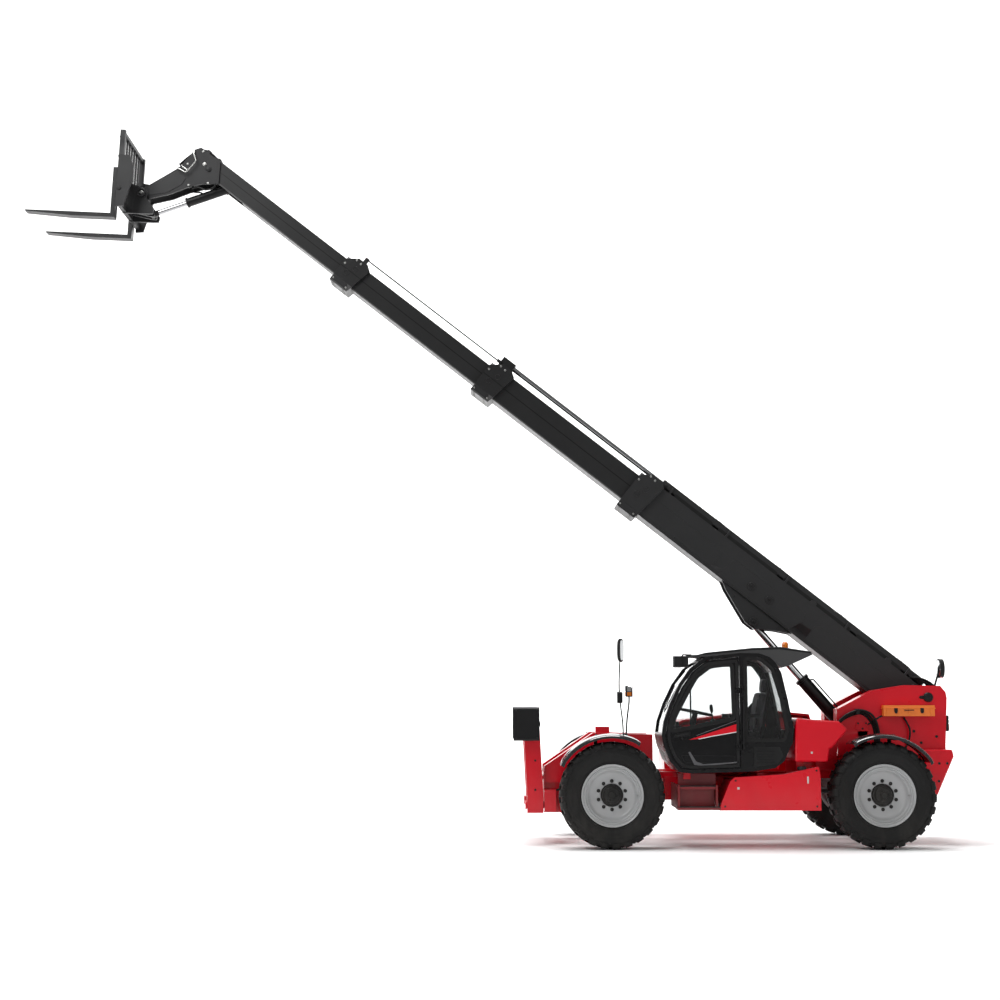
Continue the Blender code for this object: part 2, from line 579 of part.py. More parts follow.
def cab_panels():
    door_shape = clip_door(inset(CAB_SIDE, 0.046), DOOR_HINGE_X - 0.006)
    window = [(0.66, 1.300), (1.345, 1.440), (1.330, 2.020), (1.10, 1.990), (0.955, 1.880), (0.86, 1.72),
              (0.72, 1.46)]
    y0, y1 = CAB_OUT - 0.004, CAB_OUT - 0.004 + DOOR_T
    solid("cab_door", prism(door_shape, y0, y1), "trim_black", ROOT,
          adds=[block((DOOR_AXIS[0] - 0.060, DOOR_AXIS[0]), (DOOR_AXIS[1] - 0.004, y0 + 0.004), (z - 0.030, z + 0.030))
                for z in DOOR_HINGES_Z]
          + [rod((*DOOR_AXIS, z - 0.0301), (*DOOR_AXIS, z + 0.0301), 0.015, 12) for z in DOOR_HINGES_Z],
          cuts=[rod((*DOOR_AXIS, z - 0.1), (*DOOR_AXIS, z + 0.1), 0.008 + GAP, 12) for z in DOOR_HINGES_Z]
          + [prism(window, y0 - 0.1, y1 + 0.1),
                prism([(0.86, 0.93), (1.30, 0.93), (1.34, 1.24), (0.76, 1.18)], y0 + 0.012, y1 + 0.1)])
    solid("door_glass", prism(inset(window, GAP), y0 + 0.016, y0 + 0.022), "glass", ROOT, smooth=False)
    quarter = [(1.50, 2.085), (1.66, 2.078), (1.78, 1.98), (1.88, 1.64), (1.935, 1.32), (1.905, 1.20), (1.50, 1.20)]
    solid("quarter_glass", prism(inset(quarter, GAP), CAB_OUT + 0.014, CAB_OUT + 0.020), "glass", ROOT, smooth=False)
    right = [(0.72, 1.32), (1.86, 1.32), (1.80, 1.90), (1.70, 2.04), (1.05, 2.02), (0.85, 1.80)]
    solid("right_glass", prism(inset(right, GAP), CAB_IN - 0.020, CAB_IN - 0.014), "glass", ROOT, smooth=False)
    outer, inner = inset(CAB_SIDE, 0.018), inset(CAB_SIDE, 0.024)
    wide = (CAB_OUT + 0.075 + GAP, CAB_IN - 0.06 - GAP)
    solid("windscreen", prism(glass_strip(outer, inner, 0.0, 1.0, 1.2725, 2.0575), *wide), "glass", ROOT)
    solid("rear_glass", prism(glass_strip(outer, inner, 1.7, 2.2, 1.3025, 1.9475), *wide), "glass", ROOT)
    visor = [(0.93, 2.128), (1.05, 2.1124 + 0.0006), (1.445, 2.1546), (1.650, 2.1506), (1.764, 2.1110),
             (1.838, 2.0410), (1.90, 1.99), (1.97, 2.01), (2.244, 2.134), (2.232, 2.172), (1.885, 2.224),
             (1.562, 2.211), (1.057, 2.160)]
    solid("cab_roof", prism(visor, CAB_OUT + 0.005, CAB_IN - 0.005), "cab_grey", ROOT,
          [block((0.70, 0.86), (-1.145, -1.02), (2.00, 2.12)), block((0.84, 0.98), (-1.11, -1.05), (2.10, 2.135))])


def glass_strip(outer, inner, x_low, x_high, z_low, z_high):
    """The strip between two outlines, within limits of x and between two heights."""
    def run(outline):
        count = len(outline)
        found = []
        for i in range(count):
            a, b = outline[i], outline[(i + 1) % count]
            if not (x_low <= 0.5 * (a[0] + b[0]) <= x_high):
                continue
            lo, hi = (a, b) if a[1] < b[1] else (b, a)
            if hi[1] <= z_low or lo[1] >= z_high:
                continue
            for z in (max(lo[1], z_low), min(hi[1], z_high)):
                t = (z - lo[1]) / (hi[1] - lo[1])
                found.append((round(lo[0] + t * (hi[0] - lo[0]), 7), round(z, 7)))
        return sorted(set(found), key=lambda p: p[1])
    return run(outer) + run(inner)[::-1]


def height_at(outline, x):
    """The lower height of a closed outline at x."""
    found = []
    for a, b in zip(outline, outline[1:] + outline[:1]):
        if min(a[0], b[0]) <= x <= max(a[0], b[0]) and a[0] != b[0]:
            found.append(a[1] + (x - a[0]) / (b[0] - a[0]) * (b[1] - a[1]))
    return min(found)


def cab_interior():
    inner = inset(CAB_SIDE, CAB_WALL)
    cushion = [(1.22, 1.1504), (1.74, 1.1504), (1.80, 1.30), (1.86, 1.80), (1.80, 1.86), (1.74, 1.80),
               (1.66, 1.34), (1.60, 1.28), (1.24, 1.27)]
    solid("driver_seat", prism(cushion, -0.97, -0.47), "seat_cloth", ROOT,
          [block((1.34, 1.66), (-1.03, -0.96), (1.44, 1.50)), block((1.62, 1.76), (-1.03, -0.96), (1.38, 1.50)),
           prism([(x, height_at(inner, x) + GAP) for x in (1.32, 1.45, 1.52)] + [(1.52, 1.16), (1.32, 1.16)],
                 -0.92, -0.52)])
    column_foot = (0.86, -0.72, 0.90)
    head = (0.98, -0.72, 1.50)
    way = (Vector(head) - Vector(column_foot)).normalized()
    ring = []
    for i in range(8):
        turn = 2 * math.pi * i / 8
        ring.append((0.19 + 0.015 * math.cos(turn), 0.015 * math.sin(turn)))
    axis, first, second = frame_of(way)
    spokes = []
    for turn in (0.35, 2.45):
        reach = 0.19 * (math.cos(turn) * first + math.sin(turn) * second)
        spokes.append(rod(tuple(Vector(head) - reach), tuple(Vector(head) + reach), 0.009, 10))
    dash = [(0.715, 1.00), (0.86, 0.90), (0.875, height_at(inner, 0.98) + GAP), (0.98, height_at(inner, 0.98) + GAP),
            (1.00, 1.02), (0.90, 1.20), (0.72, 1.26), (0.660, 1.20)]
    solid("steering_console", prism(dash, -0.95, -0.45), "trim_black", ROOT,
          [rod(tuple(Vector(head) - 0.50 * way), tuple(Vector(head)), 0.030, 16), lathe(ring, head, tuple(way), 24),
           rod(tuple(Vector(head) - 0.02 * way), tuple(Vector(head) + 0.02 * way), 0.045, 16)] + spokes)


cab()
cab_panels()
cab_interior()


# ---------------------------------------------------------------- boom
def tube(k, front=None):
    """Outer and inner outlines of a boom section as blocks in the boom's frame."""
    front = SEC_FRONT[k] if front is None else front
    rear = SEC_FRONT[k] - SEC_LENGTH[k]
    half, low, top, wall = SEC_HALF[k], SEC_BOTTOM[k], SEC_TOP[k], SEC_WALL[k]
    body = block((-front, -rear), (-half, half), (low, top))
    inside = front - COLLAR_LENGTH + 0.03 if k < 3 else front + 0.2
    hollow = block((-inside, -rear + 0.2), (-half + wall, half - wall), (low + wall, top - wall))
    return body, hollow


def section_outline(k, grow):
    return ((-SEC_HALF[k] - grow, SEC_HALF[k] + grow), (SEC_BOTTOM[k] - grow, SEC_TOP[k] + grow))


def collar(k):
    """The guide at the front of section k that section k + 1 slides through."""
    front = SEC_FRONT[k]
    rear = front - COLLAR_LENGTH
    lip = COLLAR_LIP[k]
    half = SEC_HALF[k] + lip
    low, top = SEC_BOTTOM[k] - 0.07, SEC_TOP[k] + 0.055
    shape = [(-front, low + 0.0), (-front, top - 0.10), (-front + 0.13, top), (-rear, top),
             (-rear + 0.07, top - 0.05), (-rear + 0.02, low + 0.09), (-rear, low)]
    return prism(shape, -half, half)


def rear_pad(k):
    """A ring near the back end of section k that runs inside section k - 1."""
    rear = SEC_FRONT[k] - SEC_LENGTH[k]
    outer = k - 1
    half = SEC_HALF[outer] - SEC_WALL[outer] - GAP
    low = SEC_BOTTOM[outer] + SEC_WALL[outer] + GAP
    top = SEC_TOP[outer] - SEC_WALL[outer] - GAP
    return block((-rear - 0.16, -rear - 0.01), (-half, half), (low, top))


def boom_sections():
    # section 1, the outer boom
    body, hollow = tube(0)
    adds = [collar(0), rod((-TOP_CYL[0], 0, TOP_AXIS), (-TOP_CYL[1], 0, TOP_AXIS), 0.052, 24)]
    adds += [block((-s - 0.06, -s + 0.06), (-0.07, 0.07), (SEC_TOP[0] - 0.004, TOP_AXIS)) for s in (0.50, 1.70, 2.90)]
    cheek = [(1.62, -0.33), (1.80, -0.42), (2.02, -0.565), (2.15, -0.565), (2.56, -0.40), (2.68, -0.33)]
    for side in (-1, 1):
        adds.append(sided(prism(local_boom(cheek), -0.128, -CHEEK_IN), side))
        adds.append(sided(rod((-LIFT_PIN[0], -0.111, LIFT_PIN[1]), (-LIFT_PIN[0], -0.148, LIFT_PIN[1]), 0.052, 20), side))
        for s in (2.088, 2.349):
            adds.append(sided(disc((-s, -0.184), 0.045, -SEC_HALF[0] - 0.014, -SEC_HALF[0] + 0.004, 20), side))
    hole_y, hole_z = section_outline(1, GAP)
    cuts = [hollow, block((-SEC_FRONT[0] - 0.2, -SEC_FRONT[0] + COLLAR_LENGTH + 0.1), hole_y, hole_z)]
    cuts.append(rod((-TOP_CYL[0] - 0.03, 0, TOP_AXIS), (-SEC_FRONT[0] - 0.2, 0, TOP_AXIS), TOP_ROD_R + GAP, 20))
    cuts.append(rod((0.0, -0.4, 0.0), (0.0, 0.4, 0.0), 0.045 + PIN_GAP, 24))
    solid("boom_section_1", body, "boom_grey", BOOM, adds, cuts, smooth=False)
    for k in (1, 2):
        body, hollow = tube(k)
        hole_y, hole_z = section_outline(k + 1, GAP)
        adds = [collar(k), rear_pad(k)]
        cuts = [hollow, block((-SEC_FRONT[k] - 0.2, -SEC_FRONT[k] + COLLAR_LENGTH + 0.1), hole_y, hole_z)]
        if k == 1:
            adds.append(block((-SEC_FRONT[k] + 0.06, -SEC_FRONT[k] + COLLAR_LENGTH - 0.02), (-0.06, 0.06),
                              (SEC_TOP[k] + 0.03, TOP_AXIS + 0.048)))
            front = SEC_FRONT[1] - 0.10
            adds.append(rod((-front, 0, TOP_AXIS), (-front + TOP_ROD_LENGTH, 0, TOP_AXIS), TOP_ROD_R, 20))
        solid(f"boom_section_{k + 1}", body, "boom_grey", BOOM, adds, cuts, smooth=False)
    body, hollow = tube(3)
    pin = rod((-TILT_BASE[0], -SEC_HALF[3] + 0.003, TILT_BASE[1]), (-TILT_BASE[0], SEC_HALF[3] - 0.003, TILT_BASE[1]),
              0.030, 20)
    slot = block((-SEC_FRONT[3] - 0.1, -SEC_FRONT[3] + 0.62), (-0.070, 0.070), (SEC_BOTTOM[3] - 0.1, SEC_BOTTOM[3] + 0.05))
    found = solid("boom_section_4", body, "boom_grey", BOOM, [rear_pad(3)], [hollow, slot], smooth=False)
    add_shape(found, "base_pin", pin, "UNION", BOOM)


TOP_AXIS = 0.165


def head():
    """The cranked head welded to section 4, with the carriage's pivot pin."""
    side_plate = [
        (10.60, SEC_TOP[3] - 0.010), (10.90, -0.035), (10.945, -0.10), (10.955, -0.40), (11.01, -0.55),
        (11.12, -0.84), (11.175, -0.937), (11.15, -1.005), (11.081, -1.03), (11.01, -1.00), (10.985, -0.92),
        (10.83, -0.73), (10.72, -0.54), (10.60, -0.385), (10.45, -0.272), (10.45, -0.25),
    ]
    half = SEC_HALF[3] + GAP
    adds = [sided(prism(local_boom(side_plate), -(half + 0.025), -half), 1)]
    cap = [(SEC_FRONT[3] + GAP, -0.045), (10.90, -0.045), (10.935, -0.10), (10.945, -0.39),
           (10.92, -0.39), (SEC_FRONT[3] + GAP + 0.02, -0.06)]
    adds.append(prism(local_boom(cap), -(half + 0.004), half + 0.004))
    adds.append(rod((-HEAD_PIVOT[0], -0.215, HEAD_PIVOT[1]), (-HEAD_PIVOT[0], 0.215, HEAD_PIVOT[1]), 0.040, 24))
    adds.append(rod((-HEAD_PIVOT[0], -half - 0.01, HEAD_PIVOT[1]), (-HEAD_PIVOT[0], half + 0.01, HEAD_PIVOT[1]),
                    0.07, 24))
    solid("boom_head", prism(local_boom(side_plate), -(half + 0.025), -half), "boom_grey", BOOM, adds)


boom_sections()
head()


# ---------------------------------------------------------------- cylinders
def cylinder(label, base, pin, barrel_length, radius, rod_radius, rod_from, eye, rod_eye, parent, axis="Y",
             place=0.0, width=0.05, eye_width=None, base_pin=0.035, colour="frame_black"):
    """A barrel that turns on its base pin and a rod that slides in it, as two sub-parts.

    base and pin are (x, z) points for axis Y, or (y, z) points for axis X. rod_from is how far along the
    barrel the rod's inner end stands, which leaves it room to slide in and out.
    """
    def point(p, side=0.0):
        return (p[0], place + side, p[1]) if axis == "Y" else (place + side, p[0], p[1])

    start, end = Vector(point(base)), Vector(point(pin))
    way = (end - start).normalized()
    across = Vector(point((0, 0), 1.0)) - Vector(point((0, 0), 0.0))
    seal = radius * 0.35
    barrel = rod(tuple(start + way * eye * 0.7), tuple(start + way * barrel_length), radius, 20)
    adds = [rod(tuple(start - across * width), tuple(start + across * width), eye, 20),
            rod(tuple(start + way * (barrel_length - seal)), tuple(start + way * (barrel_length + 0.004)),
                radius * 1.14, 20)]
    cuts = [rod(tuple(start - across * width * 1.5), tuple(start + across * width * 1.5), base_pin + PIN_GAP, 24),
            rod(tuple(start + way * (eye + 0.04)), tuple(start + way * (barrel_length + 0.1)), rod_radius + GAP, 24)]
    solid(f"{label}_barrel", barrel, colour, parent, adds, cuts)
    bar = rod(tuple(start + way * rod_from), tuple(end - way * rod_eye * 0.4), rod_radius, 24)
    reach = across * (eye_width or width)
    solid(f"{label}_rod", bar, "chrome", parent, [rod(tuple(end - reach), tuple(end + reach), rod_eye, 24)],
          [rod(tuple(end - reach * 1.5), tuple(end + reach * 1.5), rod_eye * 0.55, 20)])


cylinder("lift_cylinder", LIFT_BASE, boom_to_machine(*LIFT_PIN), LIFT_BARREL, LIFT_R, LIFT_ROD_R, 0.845, 0.075, 0.042,
         ROOT, width=0.055, eye_width=CHEEK_IN - 0.006)


# ---------------------------------------------------------------- stabilisers
def stabiliser(label, side):
    hinge_pin = 0.035
    x0, x1 = STAB_X
    top = STAB_Z + PAD_DROP + 0.03
    front_view = [(x1, STAB_Z - 0.09), (x1, STAB_Z + 0.09), (x1 - 0.045, top), (x0 - 0.045, top), (x0, STAB_Z + 0.09),
                  (x0, STAB_Z - 0.09)]
    leg = prism(front_view, -(STAB_Y + 0.06), -(STAB_Y - 0.06))
    arm = block((x0 + 0.02, x1 - 0.075), (-(STAB_Y + PAD_OUT + 0.035), -(STAB_Y + 0.03)),
                (STAB_Z + PAD_DROP - 0.04, STAB_Z + PAD_DROP + 0.028))
    leg_cuts = [
        rod((x0 - 0.1, -STAB_Y, STAB_Z), (x1 + 0.1, -STAB_Y, STAB_Z), hinge_pin + PIN_GAP, 20),
        rod((x0 - 0.1, -(STAB_Y + PAD_OUT), STAB_Z + PAD_DROP), (x1 + 0.1, -(STAB_Y + PAD_OUT), STAB_Z + PAD_DROP),
            0.018 + PIN_GAP, 16),
    ]
    pin_y, pin_z = STAB_Y - STAB_EAR[0], STAB_Z + STAB_EAR[1]
    ear = [(-(STAB_Y - 0.055), pin_z - 0.13), (-(pin_y - 0.015), pin_z - 0.038), (-(pin_y - 0.038), pin_z - 0.012),
           (-(pin_y - 0.038), pin_z + 0.012), (-(pin_y - 0.015), pin_z + 0.038), (-(STAB_Y - 0.055), pin_z + 0.13)]
    cx = cylinder_x(side)
    ears = [plate_x(ear, *sorted((cx + k * 0.0225, cx + k * 0.0375))) for k in (-1, 1)]
    solid(f"stabiliser_leg_{label}", sided(leg, side), "body_red", ROOT,
          [sided(arm, side)] + [sided(e, side) for e in ears], [sided(c, side) for c in leg_cuts], smooth=False)
    px0, px1 = -1.087, -0.790
    pz0, pz1 = STAB_Z + PAD_DROP - 0.19, STAB_Z + PAD_DROP + 0.19
    plate = plate_x([(-(STAB_Y + 0.205), pz0 + 0.02), (-(STAB_Y + 0.20), pz1 - 0.02), (-(STAB_Y + 0.175), pz1),
                     (-(STAB_Y + 0.155), pz1), (-(STAB_Y + 0.155), pz0), (-(STAB_Y + 0.185), pz0)], px0, px1)
    adds = []
    for a, b in ((x0 - 0.012, x0 + 0.0196), (x1 - 0.0746, x1 - 0.045)):
        adds.append(block((a, b), (-(STAB_Y + 0.16), -(STAB_Y + 0.084)),
                          (STAB_Z + PAD_DROP - 0.05, STAB_Z + PAD_DROP + 0.05)))
    adds.append(rod((x0 - 0.005, -(STAB_Y + PAD_OUT), STAB_Z + PAD_DROP),
                    (x1 - 0.050, -(STAB_Y + PAD_OUT), STAB_Z + PAD_DROP), 0.018, 16))
    solid(f"stabiliser_pad_{label}", sided(plate, side), "frame_black", ROOT, [sided(a, side) for a in adds],
          smooth=False)
    flip = -1 if side < 0 else 1
    cylinder(f"stabiliser_cylinder_{label}", (-flip * STAB_BASE[0], STAB_BASE[1]), (flip * pin_y, pin_z),
             0.672, 0.038, 0.020, 0.086, 0.036, 0.030, ROOT, axis="X", place=cylinder_x(side), width=0.018, base_pin=0.022)


stabiliser("left", -1)
stabiliser("right", 1)


# ---------------------------------------------------------------- carriage and forks
def carriage_point(s, n):
    """A point of the boom's frame in the carriage's own frame."""
    x, z = boom_to_machine(s, n)
    dx, dz = x - HEAD_X, z - HEAD_Z
    a = math.radians(CARRIAGE_TIP)
    return (math.cos(a) * dx - math.sin(a) * dz, math.sin(a) * dx + math.cos(a) * dz)


def carriage():
    front = FORK_FACE + FORK_T + 0.012
    tilt = carriage_point(*TILT_PIN)
    half = CARRIAGE_HALF
    cheek = [(front + 0.002, -0.26), (front + 0.002, 0.14), (-0.05, 0.085), (0.045, 0.055), (0.07, 0.0),
             (0.055, -0.05), (tilt[0] + 0.045, tilt[1] + 0.02), (tilt[0] + 0.035, tilt[1] - 0.045),
             (tilt[0] - 0.04, tilt[1] - 0.05)]
    side_plate = [(front, -0.29), (front, 0.36), (front + 0.14, 0.34), (front + 0.19, 0.20), (front + 0.19, 0.06),
                  (front + 0.10, -0.28)]
    adds, cuts = [], []
    for side in (-1, 1):
        adds.append(sided(prism(cheek, -0.195, -0.160), side))
        adds.append(sided(prism(side_plate, -half, -half + 0.025), side))
        adds.append(sided(block((front, front + 0.06), (-half + 0.004, -half + 0.055), (0.30, BACKREST_TOP)), side))
        adds.append(sided(prism([(tilt[0] - 0.03, tilt[1] - 0.045), (tilt[0] + 0.03, tilt[1] - 0.045),
                                 (tilt[0] + 0.04, tilt[1] + 0.03), (front + 0.03, 0.02), (front + 0.03, -0.20)],
                                -0.084, -0.050), side))
    adds.append(block((front, front + 0.05), (-half + 0.005, half - 0.005), (0.10, 0.19)))
    adds.append(block((front, front + 0.05), (-half + 0.005, half - 0.005), (-0.25, -0.16)))
    adds.append(block((front, front + 0.045), (-half + 0.01, half - 0.01), (BACKREST_TOP - 0.045, BACKREST_TOP - 0.003)))
    adds.append(block((front + 0.004, front + 0.03), (-0.18, 0.18), (-0.20, 0.15)))
    for i in range(-3, 4):
        y = i * 0.125
        adds.append(block((front + 0.006, front + 0.030), (y - 0.012, y + 0.012), (0.15, BACKREST_TOP - 0.02)))
    cuts.append(rod((0, -0.3, 0), (0, 0.3, 0), 0.040 + GAP, 24))
    solid("carriage", prism(cheek, -0.195, -0.160), "boom_grey", CARRIAGE, adds[1:], cuts, smooth=False)
    for label, side in (("left", -1), ("right", 1)):
        blade = [(FORK_FACE, FORK_TOP), (FORK_FACE - FORK_LENGTH, FORK_TOP),
                 (FORK_FACE - FORK_LENGTH, FORK_TOP - 0.016), (FORK_FACE - FORK_LENGTH * 0.45, FORK_TOP - FORK_T),
                 (FORK_FACE + FORK_T, FORK_TOP - FORK_T), (FORK_FACE + FORK_T, 0.205), (FORK_FACE, 0.205)]
        hook = [block((FORK_FACE + 0.01, front + 0.075), (side * FORK_Y - 0.05, side * FORK_Y + 0.05),
                      (0.1904, 0.2049)),
                block((front + 0.0504, front + 0.075), (side * FORK_Y - 0.05, side * FORK_Y + 0.05), (0.15, 0.2045)),
                block((FORK_FACE + 0.04, front - GAP), (side * FORK_Y - 0.05, side * FORK_Y + 0.05), (-0.24, -0.17))]
        solid(f"fork_{label}", prism(blade, side * FORK_Y - FORK_W / 2, side * FORK_Y + FORK_W / 2), "frame_black",
              CARRIAGE, hook, smooth=False)


carriage()
cylinder("tilt_cylinder", local_boom([TILT_BASE])[0], local_boom([TILT_PIN])[0], TILT_BARREL, TILT_R, TILT_ROD_R,
         0.300, 0.050, 0.042, BOOM, width=0.040, base_pin=0.030)


# ---------------------------------------------------------------- small parts
def small_parts():
    deck = DECK_TOP - 0.018 * (0.12 + 0.17) / 0.685 + GAP
    solid("mirror_front", block((0.106, 0.183), (-0.62, -0.45), (2.07, 2.34)), "trim_black", ROOT,
          [rod((0.150, -0.44, deck), (0.150, -0.44, 1.90), 0.014, 12),
           rod((0.150, -0.44, 1.88), (0.146, -0.52, 2.10), 0.014, 12),
           block((0.12, 0.27), (-0.46, -0.40), (deck, deck + 0.02)),
           rod((0.245, -0.42, deck + 0.01), (0.245, -0.42, 1.70), 0.012, 12),
           block((0.20, 0.29), (-0.46, -0.38), (1.67, 1.80))])
    solid("beacon", rod((2.016, -0.72, 2.2115), (2.016, -0.72, 2.27), 0.045, 20), "beacon_orange", ROOT)
    solid("tool_box", block((3.158, 3.745), (-0.56, -(TOWER_OUT + GAP)), (1.452, 1.576)), "box_orange", ROOT)


small_parts()
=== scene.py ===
"""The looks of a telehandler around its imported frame: paint, rubber, glass, hoses, bolts and trim."""

import json
import math

import bmesh
import bpy
from mathutils import Matrix, Vector

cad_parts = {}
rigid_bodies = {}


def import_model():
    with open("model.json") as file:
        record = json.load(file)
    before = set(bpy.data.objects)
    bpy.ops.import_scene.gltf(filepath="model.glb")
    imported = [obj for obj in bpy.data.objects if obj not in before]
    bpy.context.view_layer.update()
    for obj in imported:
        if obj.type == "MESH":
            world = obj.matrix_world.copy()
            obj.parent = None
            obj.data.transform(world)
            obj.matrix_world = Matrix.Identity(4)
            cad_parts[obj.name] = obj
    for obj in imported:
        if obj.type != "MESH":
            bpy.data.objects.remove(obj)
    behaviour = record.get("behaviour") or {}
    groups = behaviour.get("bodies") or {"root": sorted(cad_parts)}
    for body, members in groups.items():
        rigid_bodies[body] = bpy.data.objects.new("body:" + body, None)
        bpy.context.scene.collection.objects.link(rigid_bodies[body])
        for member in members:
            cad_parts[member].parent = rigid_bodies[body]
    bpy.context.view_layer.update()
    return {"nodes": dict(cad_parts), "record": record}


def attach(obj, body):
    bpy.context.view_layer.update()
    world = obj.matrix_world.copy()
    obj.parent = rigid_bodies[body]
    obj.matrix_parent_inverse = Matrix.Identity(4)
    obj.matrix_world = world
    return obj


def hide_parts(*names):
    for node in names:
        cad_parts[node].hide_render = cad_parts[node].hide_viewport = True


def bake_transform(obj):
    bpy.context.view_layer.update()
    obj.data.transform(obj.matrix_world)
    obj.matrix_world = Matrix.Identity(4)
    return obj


for startup in list(bpy.data.objects):
    bpy.data.objects.remove(startup)

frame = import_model()

# ---------------------------------------------------------------- places
# Lengths are metres. Machine x runs backwards from the front axle, and the frame's x from its middle.
# A boom point is (s, n): s runs along the boom from its pivot to the head, and n is square to it, upwards.
SHIFT_X = 1.495740587
TYRE_R = 0.5875
WHEELS = {
    "front_left": (0.0, -1), "front_right": (0.0, 1), "rear_left": (3.0, -1), "rear_right": (3.0, 1),
}
WHEEL_Y = 1.005
PIVOT = (3.695, 1.667)
BOOM_TURN = math.radians(38.1)
HEAD_PIVOT = (11.081, -0.937)
CARRIAGE_TURN = math.radians(2.5)
SECTION_FRONT = (4.2, 6.43, 8.62, 10.7)         # s of each section's front end
SECTION_HALF = (0.17, 0.143, 0.117, 0.093)      # half of each section's width
SECTION_LOW = (-0.335, -0.305, -0.288, -0.262)  # n of each underside
SECTION_TOP = (0.095, 0.05, 0.008, -0.022)      # n of each top
COLLAR_LIP = (0.045, 0.045, 0.04)               # how far a collar stands out at the side
TOP_AXIS = 0.165                                # n of the extending cylinder on top
TOWER_OUT = 0.4705                              # outer face of the tower
CAB_LEFT = -1.154                               # outer face of the door

MACHINE = Matrix.Translation((SHIFT_X, 0, 0))
BOOM = Matrix.Translation((PIVOT[0] + SHIFT_X, 0, PIVOT[1])) @ Matrix.Rotation(BOOM_TURN, 4, "Y")
HEAD_PLACE = BOOM @ Vector((-HEAD_PIVOT[0], 0, HEAD_PIVOT[1]))
CARRIAGE = Matrix.Translation(HEAD_PLACE) @ Matrix.Rotation(CARRIAGE_TURN, 4, "Y")


# ---------------------------------------------------------------- shader groups
class Wires:
    """Places nodes in a tree and joins them."""

    def __init__(self, tree):
        self.tree = tree
        self.count = 0

    def node(self, kind, **settings):
        made = self.tree.nodes.new(kind)
        made.location = (self.count * 190 % 1900, -(self.count // 10) * 320)
        self.count += 1
        for key, value in settings.items():
            setattr(made, key, value)
        return made

    def join(self, source, target):
        self.tree.links.new(source, target)

    def fill(self, node, name, value):
        """A number, a colour or another node's output into a socket."""
        socket = node.inputs[name]
        if hasattr(value, "links"):
            self.join(value, socket)
        else:
            socket.default_value = value

    def math(self, operation, a, b=0.0, clamp=False):
        made = self.node("ShaderNodeMath", operation=operation, use_clamp=clamp)
        self.fill(made, 0, a)
        self.fill(made, 1, b)
        return made.outputs[0]

    def mix(self, share, a, b):
        made = self.node("ShaderNodeMix", data_type="RGBA")
        for index, value in ((0, share), (6, a), (7, b)):
            self.fill(made, index, value)
        return made.outputs[2]

    def noise(self, scale, detail=3.0, rough=0.55, place=None, stretch=None):
        place = place or self.node("ShaderNodeTexCoord").outputs["Object"]
        if stretch:
            mapping = self.node("ShaderNodeMapping")
            self.fill(mapping, "Scale", stretch)
            self.join(place, mapping.inputs["Vector"])
            place = mapping.outputs[0]
        made = self.node("ShaderNodeTexNoise")
        self.join(place, made.inputs["Vector"])
        for name, value in (("Scale", scale), ("Detail", detail), ("Roughness", rough)):
            self.fill(made, name, value)
        return made.outputs["Fac"]

    def ramp(self, value, low, high, start=0.0, end=1.0):
        made = self.node("ShaderNodeMapRange", interpolation_type="SMOOTHSTEP")
        for index, number in enumerate((value, low, high, start, end)):
            self.fill(made, index, number)
        return made.outputs[0]


def shader_group(name, inputs, outputs, build):
    """A reusable effect. inputs are (name, kind, value) and outputs are (name, kind)."""
    tree = bpy.data.node_groups.new(name, "ShaderNodeTree")
    for label, kind, value in inputs:
        socket = tree.interface.new_socket(label, in_out="INPUT", socket_type="NodeSocket" + kind)
        socket.default_value = value
    for label, kind in outputs:
        tree.interface.new_socket(label, in_out="OUTPUT", socket_type="NodeSocket" + kind)
    wires = Wires(tree)
    entry, out = wires.node("NodeGroupInput"), wires.node("NodeGroupOutput")
    for label, value in build(wires, entry.outputs).items():
        wires.fill(out, label, value)
    return tree


def worn_edges(w, given):
    """Rounds the edges that light catches and marks where paint rubs thin."""
    rounded = w.node("ShaderNodeBevel", samples=4)
    w.join(given["Radius"], rounded.inputs["Radius"])
    true_face = w.node("ShaderNodeNewGeometry")
    meet = w.node("ShaderNodeVectorMath", operation="DOT_PRODUCT")
    w.join(rounded.outputs[0], meet.inputs[0])
    w.join(true_face.outputs["Normal"], meet.inputs[1])
    turned = w.math("SUBTRACT", 1.0, meet.outputs["Value"])
    patches = w.ramp(w.noise(9.0, 5.0, 0.7), 0.42, 0.66)
    edge = w.ramp(turned, 0.02, 0.22)
    return {"Mask": w.math("MULTIPLY", w.math("MULTIPLY", edge, patches), given["Amount"], clamp=True),
            "Normal": rounded.outputs[0]}


def colour_drift(w, given):
    """Slow change of brightness over a painted or moulded surface."""
    broad = w.ramp(w.noise(given["Scale"], 2.0, 0.5), 0.3, 0.7, -0.5, 0.5)
    change = w.math("MULTIPLY", broad, given["Amount"])
    made = w.node("ShaderNodeHueSaturation")
    w.fill(made, "Color", given["Color"])
    w.fill(made, "Value", w.math("ADD", 1.0, change))
    return {"Color": made.outputs[0]}


